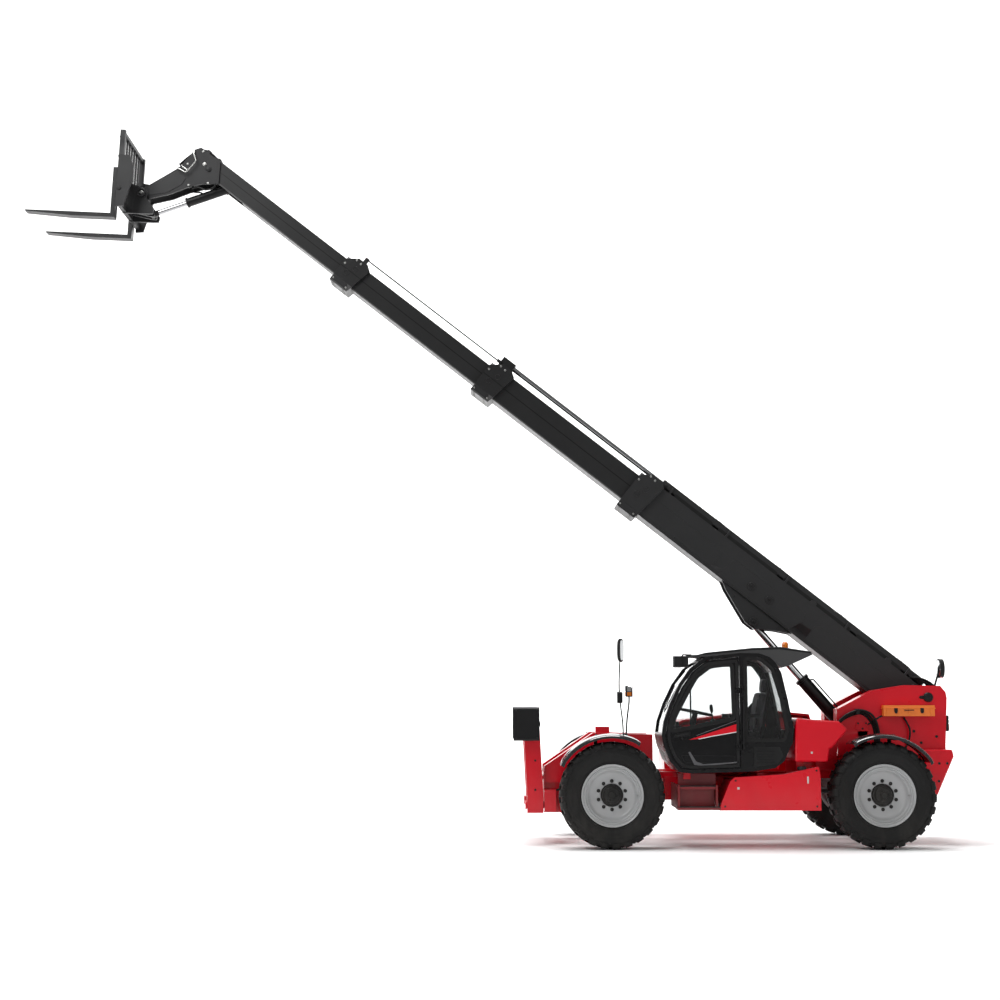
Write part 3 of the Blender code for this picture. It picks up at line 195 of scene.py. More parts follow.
def settled_dust(w, given):
    """A thin film of pale dust, thicker low down, on upward faces and in streaks."""
    place = w.node("ShaderNodeTexCoord").outputs["Object"]
    split = w.node("ShaderNodeSeparateXYZ")
    w.join(place, split.inputs[0])
    low = w.ramp(split.outputs["Z"], 1.15, 0.05)
    face = w.node("ShaderNodeSeparateXYZ")
    w.join(w.node("ShaderNodeNewGeometry").outputs["Normal"], face.inputs[0])
    upward = w.ramp(face.outputs["Z"], 0.35, 0.95, 0.0, 0.45)
    share = w.math("MULTIPLY", w.math("ADD", low, upward), given["Amount"])
    cloud = w.ramp(w.noise(5.5, 6.0, 0.65, place, (1.0, 1.0, 0.45)), 0.38, 0.72, 0.15, 1.0)
    film = w.math("MULTIPLY", share, cloud, clamp=True)
    return {"Color": w.mix(film, given["Color"], given["Dust"]), "Film": film}


def paint_skin(w, given):
    """The faint ripple of sprayed paint."""
    fine = w.noise(given["Scale"], 2.0, 0.4)
    return {"Height": w.math("MULTIPLY", fine, given["Depth"])}


def moulded_grain(w, given):
    """Leather-like pits of moulded plastic and rubber."""
    cells = w.node("ShaderNodeTexVoronoi", feature="SMOOTH_F1")
    w.join(w.node("ShaderNodeTexCoord").outputs["Object"], cells.inputs["Vector"])
    w.fill(cells, "Scale", given["Scale"])
    mixed = w.math("ADD", cells.outputs["Distance"], w.noise(given["Scale"], 4.0, 0.6))
    return {"Height": w.math("MULTIPLY", mixed, given["Depth"])}


def drawn_lines(w, given):
    """Fine lines left by grinding and drawing, long in one direction."""
    lines = w.noise(given["Scale"], 3.0, 0.7, stretch=(1.0, 18.0, 1.0))
    return {"Height": w.math("MULTIPLY", lines, given["Depth"])}


def woven_cloth(w, given):
    """Two crossing sets of threads."""
    place = w.node("ShaderNodeTexCoord").outputs["Object"]
    threads = []
    for direction in ("X", "Z"):
        wave = w.node("ShaderNodeTexWave", wave_type="BANDS", bands_direction=direction)
        w.join(place, wave.inputs["Vector"])
        w.fill(wave, "Scale", given["Scale"])
        w.fill(wave, "Distortion", 0.6)
        threads.append(wave.outputs["Fac"])
    crossed = w.math("MULTIPLY", threads[0], threads[1])
    return {"Height": w.math("MULTIPLY", crossed, given["Depth"]), "Mask": crossed}


def boom_line_and_highlight(w, given):
    """A dark centre line along a boom section's sides, and a pale band on its lower edge and underside that
    paints the highlight there.
    """
    split = w.node("ShaderNodeSeparateXYZ")
    w.join(w.node("ShaderNodeTexCoord").outputs["Object"], split.inputs[0])
    across = w.math("ADD", w.math("MULTIPLY", split.outputs["X"], math.sin(BOOM_TURN)),
                    w.math("MULTIPLY", split.outputs["Z"], math.cos(BOOM_TURN)))
    pivot_level = (PIVOT[0] + SHIFT_X) * math.sin(BOOM_TURN) + PIVOT[1] * math.cos(BOOM_TURN)
    level = w.math("SUBTRACT", across, pivot_level)
    centre = w.math("ABSOLUTE", w.math("SUBTRACT", level, given["Line"]))
    # edge marks the pale band on the lower edge and underside, a painted highlight
    edge = w.ramp(level, given["Edge"], w.math("ADD", given["Edge"], 0.006), 1.0, 0.0)
    return {"Line": w.ramp(centre, 0.003, 0.006, 1.0, 0.0), "Edge": edge}


WORN_EDGES = shader_group("worn_edges", [("Radius", "Float", 0.004), ("Amount", "Float", 0.5)],
                          [("Mask", "Float"), ("Normal", "Vector")], worn_edges)
GREY_INPUT = ("Color", "Color", (0.5, 0.5, 0.5, 1))
DUST_INPUT = ("Dust", "Color", (0.3, 0.27, 0.23, 1))
COLOUR_DRIFT = shader_group("colour_drift", [GREY_INPUT, ("Amount", "Float", 0.1),
                                             ("Scale", "Float", 1.5)], [("Color", "Color")], colour_drift)
SETTLED_DUST = shader_group("settled_dust", [GREY_INPUT, DUST_INPUT, ("Amount", "Float", 0.2)],
                            [("Color", "Color"), ("Film", "Float")], settled_dust)
PAINT_SKIN = shader_group("paint_skin", [("Scale", "Float", 260.0), ("Depth", "Float", 0.1)],
                          [("Height", "Float")], paint_skin)
MOULDED_GRAIN = shader_group("moulded_grain", [("Scale", "Float", 400.0), ("Depth", "Float", 0.2)],
                             [("Height", "Float")], moulded_grain)
DRAWN_LINES = shader_group("drawn_lines", [("Scale", "Float", 40.0), ("Depth", "Float", 0.2)],
                           [("Height", "Float")], drawn_lines)
WOVEN_CLOTH = shader_group("woven_cloth", [("Scale", "Float", 160.0), ("Depth", "Float", 0.4)],
                           [("Height", "Float"), ("Mask", "Float")], woven_cloth)
BOOM_LINE_AND_HIGHLIGHT = shader_group("boom_line_and_highlight", [("Line", "Float", -0.1), ("Edge", "Float", -0.3)],
                          [("Line", "Float"), ("Edge", "Float")], boom_line_and_highlight)


def use(w, tree, **values):
    """Places a shader group in a material, and gives its outputs."""
    made = w.node("ShaderNodeGroup", node_tree=tree)
    for name, value in values.items():
        w.fill(made, name, value)
    return made.outputs


# ---------------------------------------------------------------- materials
def new_material(name):
    """An empty material with its shader and output."""
    material = bpy.data.materials.new(name)
    material.use_nodes = True
    material.node_tree.nodes.clear()
    w = Wires(material.node_tree)
    out = w.node("ShaderNodeOutputMaterial")
    shader = w.node("ShaderNodeBsdfPrincipled")
    w.join(shader.outputs[0], out.inputs["Surface"])
    return material, w, shader


def set_constants(shader, values):
    for name, value in values.items():
        shader.inputs[name].default_value = value


def finish(name, colour, roughness, skin=PAINT_SKIN, scale=260.0, depth=0.06, drift=0.1, wear=0.0,
           wear_colour=(0.3, 0.3, 0.31, 1), dust=0.1, radius=0.004, lines=None, **constants):
    """A solid finish: colour drift, rubbed edges, dust, fine relief and rounded edges.

    lines gives the n of a boom section's centre line and of the top of its pale lower band, a painted
    highlight on the underside.
    """
    material, w, shader = new_material(name)
    base = use(w, COLOUR_DRIFT, Color=(*colour, 1), Amount=drift, Scale=1.4)["Color"]
    if lines:
        marks = use(w, BOOM_LINE_AND_HIGHLIGHT, Line=lines[0], Edge=lines[1])
        base = w.mix(marks["Line"], base, (0.002, 0.002, 0.002, 1))
        # the pale lower band is a painted highlight on the underside
        base = w.mix(marks["Edge"], base, (0.07, 0.07, 0.07, 1))
    edges = use(w, WORN_EDGES, Radius=radius, Amount=wear)
    base = w.mix(edges["Mask"], base, wear_colour)
    film = use(w, SETTLED_DUST, Color=base, Amount=dust)
    w.join(film["Color"], shader.inputs["Base Color"])
    rough = w.math("ADD", roughness, w.math("MULTIPLY", film["Film"], 0.35))
    smudge = w.ramp(w.noise(3.2, 5.0, 0.6), 0.3, 0.7, -0.03, 0.03)
    w.join(w.math("ADD", rough, smudge, clamp=True), shader.inputs["Roughness"])
    bump = w.node("ShaderNodeBump")
    w.fill(bump, "Strength", 0.35)
    w.fill(bump, "Distance", 0.002)
    w.join(use(w, skin, Scale=scale, Depth=depth)["Height"], bump.inputs["Height"])
    w.join(edges["Normal"], bump.inputs["Normal"])
    w.join(bump.outputs[0], shader.inputs["Normal"])
    set_constants(shader, constants)
    return material


RED = (0.6, 0.001, 0.012)
COAT = {"Coat Weight": 0.35, "Coat Roughness": 0.08, "Specular IOR Level": 0.25}
DULL = {"Specular IOR Level": 0.22}
body_red = finish("body_red", RED, 0.3, wear=0.1, wear_colour=(0.3, 0.02, 0.02, 1), dust=0.05, **COAT)
boom_charcoal = finish("boom_charcoal", (0.021, 0.021, 0.0218), 0.42, depth=0.1, wear=0.5,
                       wear_colour=(0.1, 0.1, 0.1, 1), dust=0.03, **DULL)
# Sections 2 to 4 carry a dark centre line and a pale lower band, a painted highlight on the underside.
section_paint = [
    finish(f"boom_section_paint_{k + 1}", (0.016, 0.016, 0.0165), 0.38, depth=0.1, wear=0.4,
           wear_colour=(0.1, 0.1, 0.1, 1), dust=0.03,
           lines=(0.5 * (SECTION_LOW[k] + SECTION_TOP[k]) + 0.01, SECTION_LOW[k] + 0.012), **DULL)
    for k in range(1, 4)
]
frame_black = finish("frame_black", (0.007, 0.007, 0.0075), 0.36, depth=0.1, wear=0.35,
                     wear_colour=(0.1, 0.1, 0.1, 1), dust=0.08, **DULL)
cab_grey = finish("cab_grey", (0.006, 0.006, 0.0065), 0.28, wear=0.15, dust=0.02, **DULL)
visor_grey = finish("visor_grey", (0.03, 0.03, 0.031), 0.45, skin=MOULDED_GRAIN, scale=500.0, depth=0.2,
                    dust=0.1)
door_gloss = finish("door_gloss", (0.004, 0.004, 0.0045), 0.2, dust=0.02, **{"Coat Weight": 0.15, **DULL})
# grey that paints the sheen of the pressed grooves in the door
groove_sheen_grey = finish("groove_sheen_grey", (0.075, 0.075, 0.08), 0.35, dust=0.04)
stripe_white = finish("stripe_white", (0.75, 0.75, 0.75), 0.35, dust=0.03)
plate_blank = finish("plate_blank", (0.55, 0.55, 0.53), 0.4, skin=DRAWN_LINES, depth=0.1, dust=0.08)
rim_silver = finish("rim_silver", (0.36, 0.365, 0.37), 0.36, depth=0.12, wear=0.25, dust=0.16,
                    wear_colour=(0.2, 0.2, 0.2, 1), **{"Coat Weight": 0.25})
cast_black = finish("cast_black", (0.008, 0.008, 0.008), 0.48, skin=MOULDED_GRAIN, scale=160.0, depth=0.5,
                    wear=0.4, wear_colour=(0.09, 0.09, 0.09, 1), dust=0.14, **DULL)
cast_iron = finish("cast_iron", (0.045, 0.045, 0.047), 0.55, skin=MOULDED_GRAIN, scale=120.0, depth=0.6,
                   wear=0.3, dust=0.14)
chrome_rod = finish("chrome_rod", (0.42, 0.42, 0.43), 0.1, skin=DRAWN_LINES, scale=60.0, depth=0.04,
                    drift=0.03, dust=0.02, Metallic=1.0)
bright_wire = finish("bright_wire", (0.6, 0.6, 0.58), 0.28, skin=DRAWN_LINES, depth=0.1, dust=0.03,
                     Metallic=1.0)
bolt_zinc = finish("bolt_zinc", (0.32, 0.32, 0.31), 0.38, skin=DRAWN_LINES, depth=0.15, dust=0.05,
                   Metallic=1.0, radius=0.0015)
bolt_black = finish("bolt_black", (0.01, 0.01, 0.01), 0.4, wear=0.3, dust=0.06, radius=0.0015, **DULL)
tyre_rubber = finish("tyre_rubber", (0.0065, 0.0065, 0.0065), 0.62, skin=MOULDED_GRAIN, scale=90.0,
                     depth=0.5, drift=0.3, dust=0.05, radius=0.006, wear=0.3,
                     wear_colour=(0.022, 0.021, 0.02, 1), **DULL)
hose_rubber = finish("hose_rubber", (0.008, 0.008, 0.008), 0.48, skin=MOULDED_GRAIN, scale=500.0,
                     depth=0.2, dust=0.08, **DULL)
# black rubber of the seals, also used for black sheets that paint shade in the boom's top channel and behind
# the hood louvres
seal_rubber_and_shade = finish("seal_rubber_and_shade", (0.008, 0.008, 0.008), 0.55, skin=MOULDED_GRAIN, scale=400.0,
                     depth=0.2, dust=0.05, **DULL)
guard_gloss = finish("guard_gloss", (0.01, 0.01, 0.011), 0.14, dust=0.05, **{"Coat Weight": 0.7})
trim_black = finish("trim_black", (0.009, 0.009, 0.0095), 0.5, skin=MOULDED_GRAIN, scale=450.0, depth=0.3,
                    dust=0.06, **DULL)
tool_orange = finish("tool_orange", (0.85, 0.19, 0.012), 0.38, wear=0.15, dust=0.05, **{"Coat Weight": 0.4})
# dark red of the steps: the grip texture is real, the darkness is painted shade of the recessed steps
step_red_and_shade = finish("step_red_and_shade", (0.16, 0.0015, 0.005), 0.42, skin=MOULDED_GRAIN, scale=110.0, depth=1.2,
                  wear=0.4, wear_colour=(0.2, 0.06, 0.06, 1), dust=0.08)


def cloth_material():
    """The seat's woven cover."""
    material, w, shader = new_material("seat_cloth")
    weave = use(w, WOVEN_CLOTH, Scale=150.0, Depth=0.5)
    base = use(w, COLOUR_DRIFT, Color=(0.022, 0.022, 0.025, 1), Amount=0.3, Scale=4.0)["Color"]
    w.join(w.mix(weave["Mask"], base, (0.055, 0.055, 0.06, 1)), shader.inputs["Base Color"])
    w.join(w.ramp(w.noise(8.0, 3.0), 0.3, 0.7, 0.8, 0.92), shader.inputs["Roughness"])
    bump = w.node("ShaderNodeBump")
    w.fill(bump, "Strength", 0.5)
    w.fill(bump, "Distance", 0.0015)
    w.join(weave["Height"], bump.inputs["Height"])
    w.join(bump.outputs[0], shader.inputs["Normal"])
    set_constants(shader, {"Sheen Weight": 0.35, "Sheen Roughness": 0.5})
    return material


def clear_material(name, colour, roughness, transmission, **constants):
    """Glass and lenses, with a slight smear that changes their gloss."""
    material, w, shader = new_material(name)
    smear = w.noise(2.2, 4.0, 0.6)
    w.join(w.ramp(smear, 0.35, 0.75, roughness, roughness + 0.05), shader.inputs["Roughness"])
    shade = use(w, COLOUR_DRIFT, Color=(*colour, 1), Amount=0.06, Scale=2.0)["Color"]
    w.join(shade, shader.inputs["Base Color"])
    set_constants(shader, {"Transmission Weight": transmission, "IOR": 1.45, **constants})
    return material


seat_cloth = cloth_material()
cab_glass = clear_material("cab_glass", (0.78, 0.8, 0.8), 0.01, 1.0)
lamp_glass = clear_material("lamp_glass", (0.85, 0.87, 0.88), 0.03, 0.7)
beacon_lens = clear_material("beacon_lens", (0.95, 0.24, 0.01), 0.12, 0.35, **{"Coat Weight": 0.6})
red_lens = clear_material("red_lens", (0.55, 0.01, 0.01), 0.12, 0.3, **{"Coat Weight": 0.6})
mirror_glass = finish("mirror_glass", (0.52, 0.53, 0.54), 0.05, depth=0.0, drift=0.03, dust=0.03,
                      Metallic=1.0)


# ---------------------------------------------------------------- making pieces
def frame_about(direction):
    """A direction and two more that are square to it and to each other."""
    axis = Vector(direction).normalized()
    side = Vector((0, 0, 1)) if abs(axis.z) < 0.9 else Vector((1, 0, 0))
    first = axis.cross(side).normalized()
    return axis, first, axis.cross(first)


def round_spots(count, radius, start=0.0):
    """Points evenly round a circle, the first one turned on by a share of the space between two."""
    turns = (2 * math.pi * (i + start) / count for i in range(count))
    return [(radius * math.cos(a), radius * math.sin(a)) for a in turns]


def rounded_path(points, radius, steps=5):
    """A path with its corners turned into short bends."""
    points = [Vector(p) for p in points]
    found = [points[0]]
    for before, here, after in zip(points, points[1:], points[2:]):
        back, on = before - here, after - here
        reach = min(radius, 0.45 * back.length, 0.45 * on.length)
        a, b = here + back.normalized() * reach, here + on.normalized() * reach
        for i in range(steps + 1):
            t = i / steps
            found.append((1 - t) ** 2 * a + 2 * t * (1 - t) * here + t * t * b)
    return found + [points[-1]]


def smooth_path(points, steps=6):
    """A soft curve through the points."""
    points = [Vector(p) for p in points]
    ends = [2 * points[0] - points[1]] + points + [2 * points[-1] - points[-2]]
    found = []
    for a, b, c, d in zip(ends, ends[1:], ends[2:], ends[3:]):
        for i in range(steps):
            t = i / steps
            found.append(0.5 * (2 * b + (c - a) * t + (2 * a - 5 * b + 4 * c - d) * t * t
                                + (3 * b - a - 3 * c + d) * t ** 3))
    return found + [points[-1]]


class Bench:
    """Shapes are added here, and then become one piece."""

    def __init__(self):
        self.mesh = bmesh.new()

    def faces(self, points, faces):
        """Flat faces between points, by their places in the list."""
        corners = [self.mesh.verts.new(p) for p in points]
        for face in faces:
            self.mesh.faces.new([corners[i] for i in face])

    def block(self, x, y, z, soften=0.0):
        """A box between two values of x, y and z."""
        x, y, z = sorted(x), sorted(y), sorted(z)
        self.plate([(x[0], z[0]), (x[1], z[0]), (x[1], z[1]), (x[0], z[1])], *y, soften=soften)

    def plate(self, outline, y0, y1, soften=0.0):
        """An (x, z) outline between two values of y, with its rim edges chamfered."""
        count = len(outline)
        y0, y1 = sorted((y0, y1))
        area = sum(a[0] * b[1] - b[0] * a[1] for a, b in zip(outline, outline[1:] + outline[:1]))
        outline = list(outline) if area < 0 else list(outline)[::-1]
        rings = [(y0, outline), (y1, outline)]
        if soften:
            small = inset(outline, soften)
            rings = [(y0, small), (y0 + soften, outline), (y1 - soften, outline), (y1, small)]
        points = [(px, y, pz) for y, ring in rings for px, pz in ring]
        faces = [tuple(range(count))[::-1], tuple(range((len(rings) - 1) * count, len(rings) * count))]
        for k in range(len(rings) - 1):
            faces += [(k * count + i, k * count + (i + 1) % count, (k + 1) * count + (i + 1) % count,
                       (k + 1) * count + i) for i in range(count)]
        self.faces(points, faces)

    def circle(self, centre, radius, first, second, steps):
        """New corners evenly round a circle in the plane of two directions."""
        turns = (2 * math.pi * i / steps for i in range(steps))
        return [self.mesh.verts.new(centre + radius * (math.cos(a) * first + math.sin(a) * second))
                for a in turns]

    def turned(self, profile, centre, axis=(0, 1, 0), steps=48, closed=False):
        """(radius, distance along) turned round an axis."""
        line, first, second = frame_about(axis)
        centre = Vector(centre)
        rows = []
        for radius, distance in profile:
            middle = centre + line * distance
            if radius < 1e-6:
                rows.append([self.mesh.verts.new(middle)])
                continue
            rows.append(self.circle(middle, radius, first, second, steps))
        pairs = list(zip(rows, rows[1:])) + ([(rows[-1], rows[0])] if closed else [])
        for a, b in pairs:
            for i in range(steps):
                j = (i + 1) % steps
                corner = [a[i % len(a)], a[j % len(a)], b[j % len(b)], b[i % len(b)]]
                corner = list(dict.fromkeys(corner))
                if len(corner) > 2:
                    self.mesh.faces.new(corner)

    def cap(self, radius, rim, top, height, centre, axis, steps=24):
        """A round cap: its side stands up to rim, and its edge is broken in to the top's radius."""
        self.turned([(0, 0), (radius, 0), (radius, rim), (top, height), (0, height)], centre, axis, steps)

    def bar(self, start, end, radius, steps=24):
        """A round bar with broken edges."""
        start, end = Vector(start), Vector(end)
        length = (end - start).length
        edge = min(radius * 0.18, length * 0.2)
        self.turned([(0, 0), (radius - edge, 0), (radius, edge), (radius, length - edge),
                     (radius - edge, length), (0, length)], start, end - start, steps)

    def pipe(self, path, radius, steps=10):
        """A round pipe along a path, with closed ends."""
        path = [Vector(p) for p in path]
        rows, first = [], None
        for i, here in enumerate(path):
            ahead = (path[min(i + 1, len(path) - 1)] - path[max(i - 1, 0)]).normalized()
            if first is None:
                first = frame_about(ahead)[1]
            first = (first - ahead * first.dot(ahead)).normalized()
            second = ahead.cross(first)
            rows.append(self.circle(here, radius, first, second, steps))
        for a, b in zip(rows, rows[1:]):
            for i in range(steps):
                j = (i + 1) % steps
                self.mesh.faces.new((a[i], a[j], b[j], b[i]))
        self.mesh.faces.new(rows[0][::-1])
        self.mesh.faces.new(rows[-1])

    def bolt(self, centre, axis, size=0.012, washer=True):
        """A hexagon head on a washer, standing out along the axis."""
        if washer:
            wide, thick = size * 1.25, size * 0.2
            self.turned([(0, 0), (wide, 0), (wide, thick), (0, thick)], centre, axis, 16)
        self.turned([(0, size * 0.1), (size, size * 0.1), (size, size * 0.8), (size * 0.8, size * 0.95),
                     (0, size * 0.95)], centre, axis, 6)

    def ring(self, centre, axis, radius, thickness, height, steps=32):
        """A raised round rim."""
        inner = radius - thickness
        self.turned([(inner, 0), (inner, height), (radius - 0.3 * thickness, height),
                     (radius, height * 0.7), (radius, 0)], centre, axis, steps, closed=True)

    def done(self, name, body, material, place=MACHINE, angle=35.0, stands_for=()):
        """Makes the piece, from a mesh measured in the machine's, the boom's or another place."""
        bmesh.ops.recalc_face_normals(self.mesh, faces=self.mesh.faces)
        mesh = bpy.data.meshes.new(name)
        self.mesh.to_mesh(mesh)
        self.mesh.free()
        return as_piece(name, mesh, body, material, place, angle, stands_for)


def as_piece(name, mesh, body, material, place, angle=35.0, stands_for=()):
    """A mesh as a visible piece that rides on a body and takes the place of the frame nodes it stands for."""
    mesh.transform(place)
    mesh.shade_smooth()
    mesh.set_sharp_from_angle(angle=math.radians(angle))
    obj = bpy.data.objects.new(name, mesh)
    bpy.context.scene.collection.objects.link(obj)
    mesh.materials.clear()
    mesh.materials.append(material)
    if body:
        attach(obj, body)
    if stands_for:
        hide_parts(*stands_for)
    return obj


def inset(outline, distance):
    """The outline moved in on all sides."""
    count = len(outline)
    area = sum(a[0] * b[1] - b[0] * a[1] for a, b in zip(outline, outline[1:] + outline[:1]))
    turn = 1.0 if area > 0 else -1.0
    found = []
    for i in range(count):
        a, b, c = (Vector(outline[(i + k) % count]) for k in (-1, 0, 1))
        before, after = (b - a).normalized(), (c - b).normalized()
        n1, n2 = Vector((-before.y, before.x)) * turn, Vector((-after.y, after.x)) * turn
        middle = (n1 + n2).normalized()
        found.append(tuple(b + middle * min(distance / max(middle.dot(n1), 0.3), 3 * distance)))
    return found


def body_of(node):
    """The body that a frame node rides on."""
    for body, members in frame["record"]["behaviour"]["bodies"].items():
        if node in members:
            return body
    raise KeyError(node)


def smoothed(node, material, name=None, keep=None):
    """A welded copy of a frame node, or of its faces where keep is true, with round faces shaded round."""
    mesh = frame["nodes"][node].data.copy()
    work = bmesh.new()
    work.from_mesh(mesh)
    bmesh.ops.remove_doubles(work, verts=work.verts, dist=2e-5)
    if keep:
        gone = []
        for face in work.faces:
            x, y, z = face.calc_center_median()
            if not keep(x - SHIFT_X, y, z):
                gone.append(face)
        bmesh.ops.delete(work, geom=gone, context="FACES")
    bmesh.ops.dissolve_limit(work, angle_limit=math.radians(0.4), verts=work.verts, edges=work.edges)
    work.to_mesh(mesh)
    work.free()
    name = name or f"{node}_finished"
    return as_piece(name, mesh, body_of(node), material, Matrix.Identity(4), 32.0, (node,))


# ---------------------------------------------------------------- frame nodes that keep their shape
KEPT = {
    body_red: ("chassis_frame", "counterweight", "rear_cover_left", "engine_pod", "engine_hood",
               "stabiliser_leg_left", "stabiliser_leg_right"),
    boom_charcoal: ("boom_section_1", "boom_head", "carriage"),
    frame_black: ("axle_front", "axle_rear", "stabiliser_pad_left", "stabiliser_pad_right", "fork_left",
                  "fork_right"),
    cab_grey: ("cab_frame",),
    visor_grey: ("cab_roof",),
    door_gloss: ("cab_door",),
    cast_black: tuple(f"knuckle_{name}" for name in WHEELS),
    cast_iron: ("engine_block",),
    trim_black: ("steering_console",),
    tool_orange: ("tool_box",),
    cab_glass: ("windscreen", "rear_glass", "quarter_glass", "right_glass", "door_glass"),
}
for kept_material, kept_nodes in KEPT.items():
    for kept_node in kept_nodes:
        smoothed(kept_node, kept_material)
for k in range(2, 4):
    smoothed(f"boom_section_{k + 1}", section_paint[k - 1])


def top_rod(x, y, z):
    """Faces of the extending cylinder's rod above section 2."""
    spot = BOOM.inverted() @ Vector((x + SHIFT_X, y, z))
    return y * y + (spot.z - TOP_AXIS) ** 2 < 0.032 ** 2 and -6.2 < spot.x < -1.8


smoothed("boom_section_2", section_paint[0], keep=lambda *spot: not top_rod(*spot))
smoothed("boom_section_2", chrome_rod, name="top_cylinder_chrome", keep=top_rod)


def tower_fitting(x, y, z):
    """Faces of the tower's rear mirror and stalk, lamp blocks and pivot bosses."""
    mirror = z > 1.8 and x > 3.795 and -0.49 < y < -0.25 and (z > 1.9 or abs(y + 0.37) < 0.02)
    lamp = x > 3.868 and 0.315 < abs(y) < 0.465 and 1.275 < z < 1.465
    boss = abs(y) < 0.268 and (x - PIVOT[0]) ** 2 + (z - PIVOT[1]) ** 2 < 0.102 ** 2
    return mirror or lamp or boss


def cab_step(x, y, z):
    """Faces of the steps in front of the side tank."""
    return x < 1.192 and z < 0.7


smoothed("boom_tower", body_red, keep=lambda *spot: not tower_fitting(*spot))
smoothed("boom_tower", trim_black, name="tower_mirror_and_lamps", keep=tower_fitting)
smoothed("side_tank", body_red, keep=lambda *spot: not cab_step(*spot))
# the steps take the dark red that paints the shade of their recess
smoothed("side_tank", step_red_and_shade, name="cab_steps", keep=cab_step)


# ---------------------------------------------------------------- wheels
LUGS = 26                                       # tread bars on each half of a tyre
LUG_SWEEP = 0.055                               # how far a bar turns forward from shoulder to middle, radians
GUARD_RADIUS = 0.655                            # inside of a mudguard
WHEEL_NUTS = 10
NUT_CIRCLE = 0.156                              # radius of the circle that the wheel nuts stand on
HALF_TREAD = 0.2
KING_PIN_Y = 0.84
KING_PIN_UP = 0.1955
# width from the middle of the tyre, and the height of a bar there
TREAD = ((0.004, 0.5875), (0.07, 0.587), (0.125, 0.585), (0.168, 0.577), (0.192, 0.561), (0.2035, 0.54))


def tyre_mesh():
    """A tyre with two staggered rows of tread bars."""
    bench = Bench()
    half = [(0.336, 0.158), (0.346, 0.172), (0.362, 0.18), (0.372, 0.178), (0.384, 0.186), (0.42, 0.198),
            (0.452, 0.203), (0.456, 0.205), (0.47, 0.205), (0.474, 0.202), (0.51, 0.198), (0.538, 0.188),
            (0.556, 0.17), (0.563, 0.13), (0.566, 0.06), (0.567, 0.0)]
    loop = [(r, -w) for r, w in half] + [(r, w) for r, w in half[::-1][1:]]
    bench.turned(loop + [(0.33, 0.15), (0.33, -0.15)], (0, 0, 0), (0, 1, 0), 96, closed=True)
    for side in (-1, 1):
        for i in range(LUGS):
            middle = 2 * math.pi * (i + (0.25 if side > 0 else -0.25)) / LUGS
            points = []
            for w, top in TREAD:
                turn = middle + LUG_SWEEP * (HALF_TREAD - w) / HALF_TREAD
                wide = (0.026 + 0.012 * min(w / 0.15, 1.0)) / TYRE_R
                low = min(top - 0.018, 0.56) if w < 0.18 else top - 0.022
                for radius, half_angle in ((low, wide * 1.28), (top, wide)):
                    for sign in (-1, 1):
                        a = turn + sign * half_angle
                        points.append((radius * math.cos(a), side * w, radius * math.sin(a)))
            faces = [(0, 1, 3, 2), tuple(4 * (len(TREAD) - 1) + k for k in (0, 2, 3, 1))]
            for k in range(len(TREAD) - 1):
                a, b = 4 * k, 4 * (k + 1)
                faces += [(a, b, b + 2, a + 2), (a + 1, a + 3, b + 3, b + 1), (a + 2, b + 2, b + 3, a + 3),
                          (a, a + 1, b + 1, b)]
            bench.faces(points, faces)
    return bench


def rim_mesh(out):
    """The pressed rim: out is the side that faces away from the machine."""
    bench = Bench()
    profile = [
        (0.33, -0.172), (0.338, -0.178), (0.3345, -0.16), (0.318, -0.13), (0.3, -0.08), (0.296, 0.03),
        (0.31, 0.09), (0.326, 0.14), (0.3335, 0.162), (0.342, 0.17), (0.344, 0.179), (0.338, 0.184),
        (0.33, 0.18), (0.323, 0.166), (0.317, 0.16), (0.311, 0.162), (0.306, 0.168), (0.3, 0.166),
        (0.296, 0.15), (0.29, 0.128), (0.284, 0.122), (0.276, 0.12), (0.27, 0.11), (0.262, 0.084),
        (0.25, 0.07), (0.232, 0.063), (0.18, 0.06), (0.128, 0.06), (0.124, 0.052), (0.124, 0.04),
        (0.23, 0.04), (0.256, 0.046), (0.272, 0.06), (0.28, 0.08), (0.284, 0.06), (0.284, -0.08),
        (0.3, -0.13), (0.316, -0.165),
    ]
    bench.turned([(r, out * w) for r, w in profile], (0, 0, 0), (0, 1, 0), 96, closed=True)
    return bench


def hub_mesh(out):
    """The planetary hub with its cover bolts, and the wheel nuts on their studs."""
    bench = Bench()
    profile = [(0, 0.146), (0.034, 0.146), (0.04, 0.14), (0.043, 0.128), (0.082, 0.122), (0.092, 0.114),
               (0.096, 0.094), (0.112, 0.09), (0.118, 0.084), (0.121, 0.062), (0.121, -0.06),
               (0.105, -0.106), (0, -0.106)]
    bench.turned([(r, out * w) for r, w in profile], (0, 0, 0), (0, 1, 0), 64)
    for x, z in round_spots(12, 0.106):
        bench.bolt((x, out * 0.088, z), (0, out, 0), 0.0065, washer=False)
    for x, z in round_spots(3, 0.064):
        bench.bar((x, out * 0.118, z), (x, out * 0.134, z), 0.013, 12)
    for x, z in round_spots(WHEEL_NUTS, NUT_CIRCLE, 0.5):
        bench.bolt((x, out * 0.059, z), (0, out, 0), 0.0165)
        bench.bar((x, out * 0.07, z), (x, out * 0.092, z), 0.009, 12)
    return bench


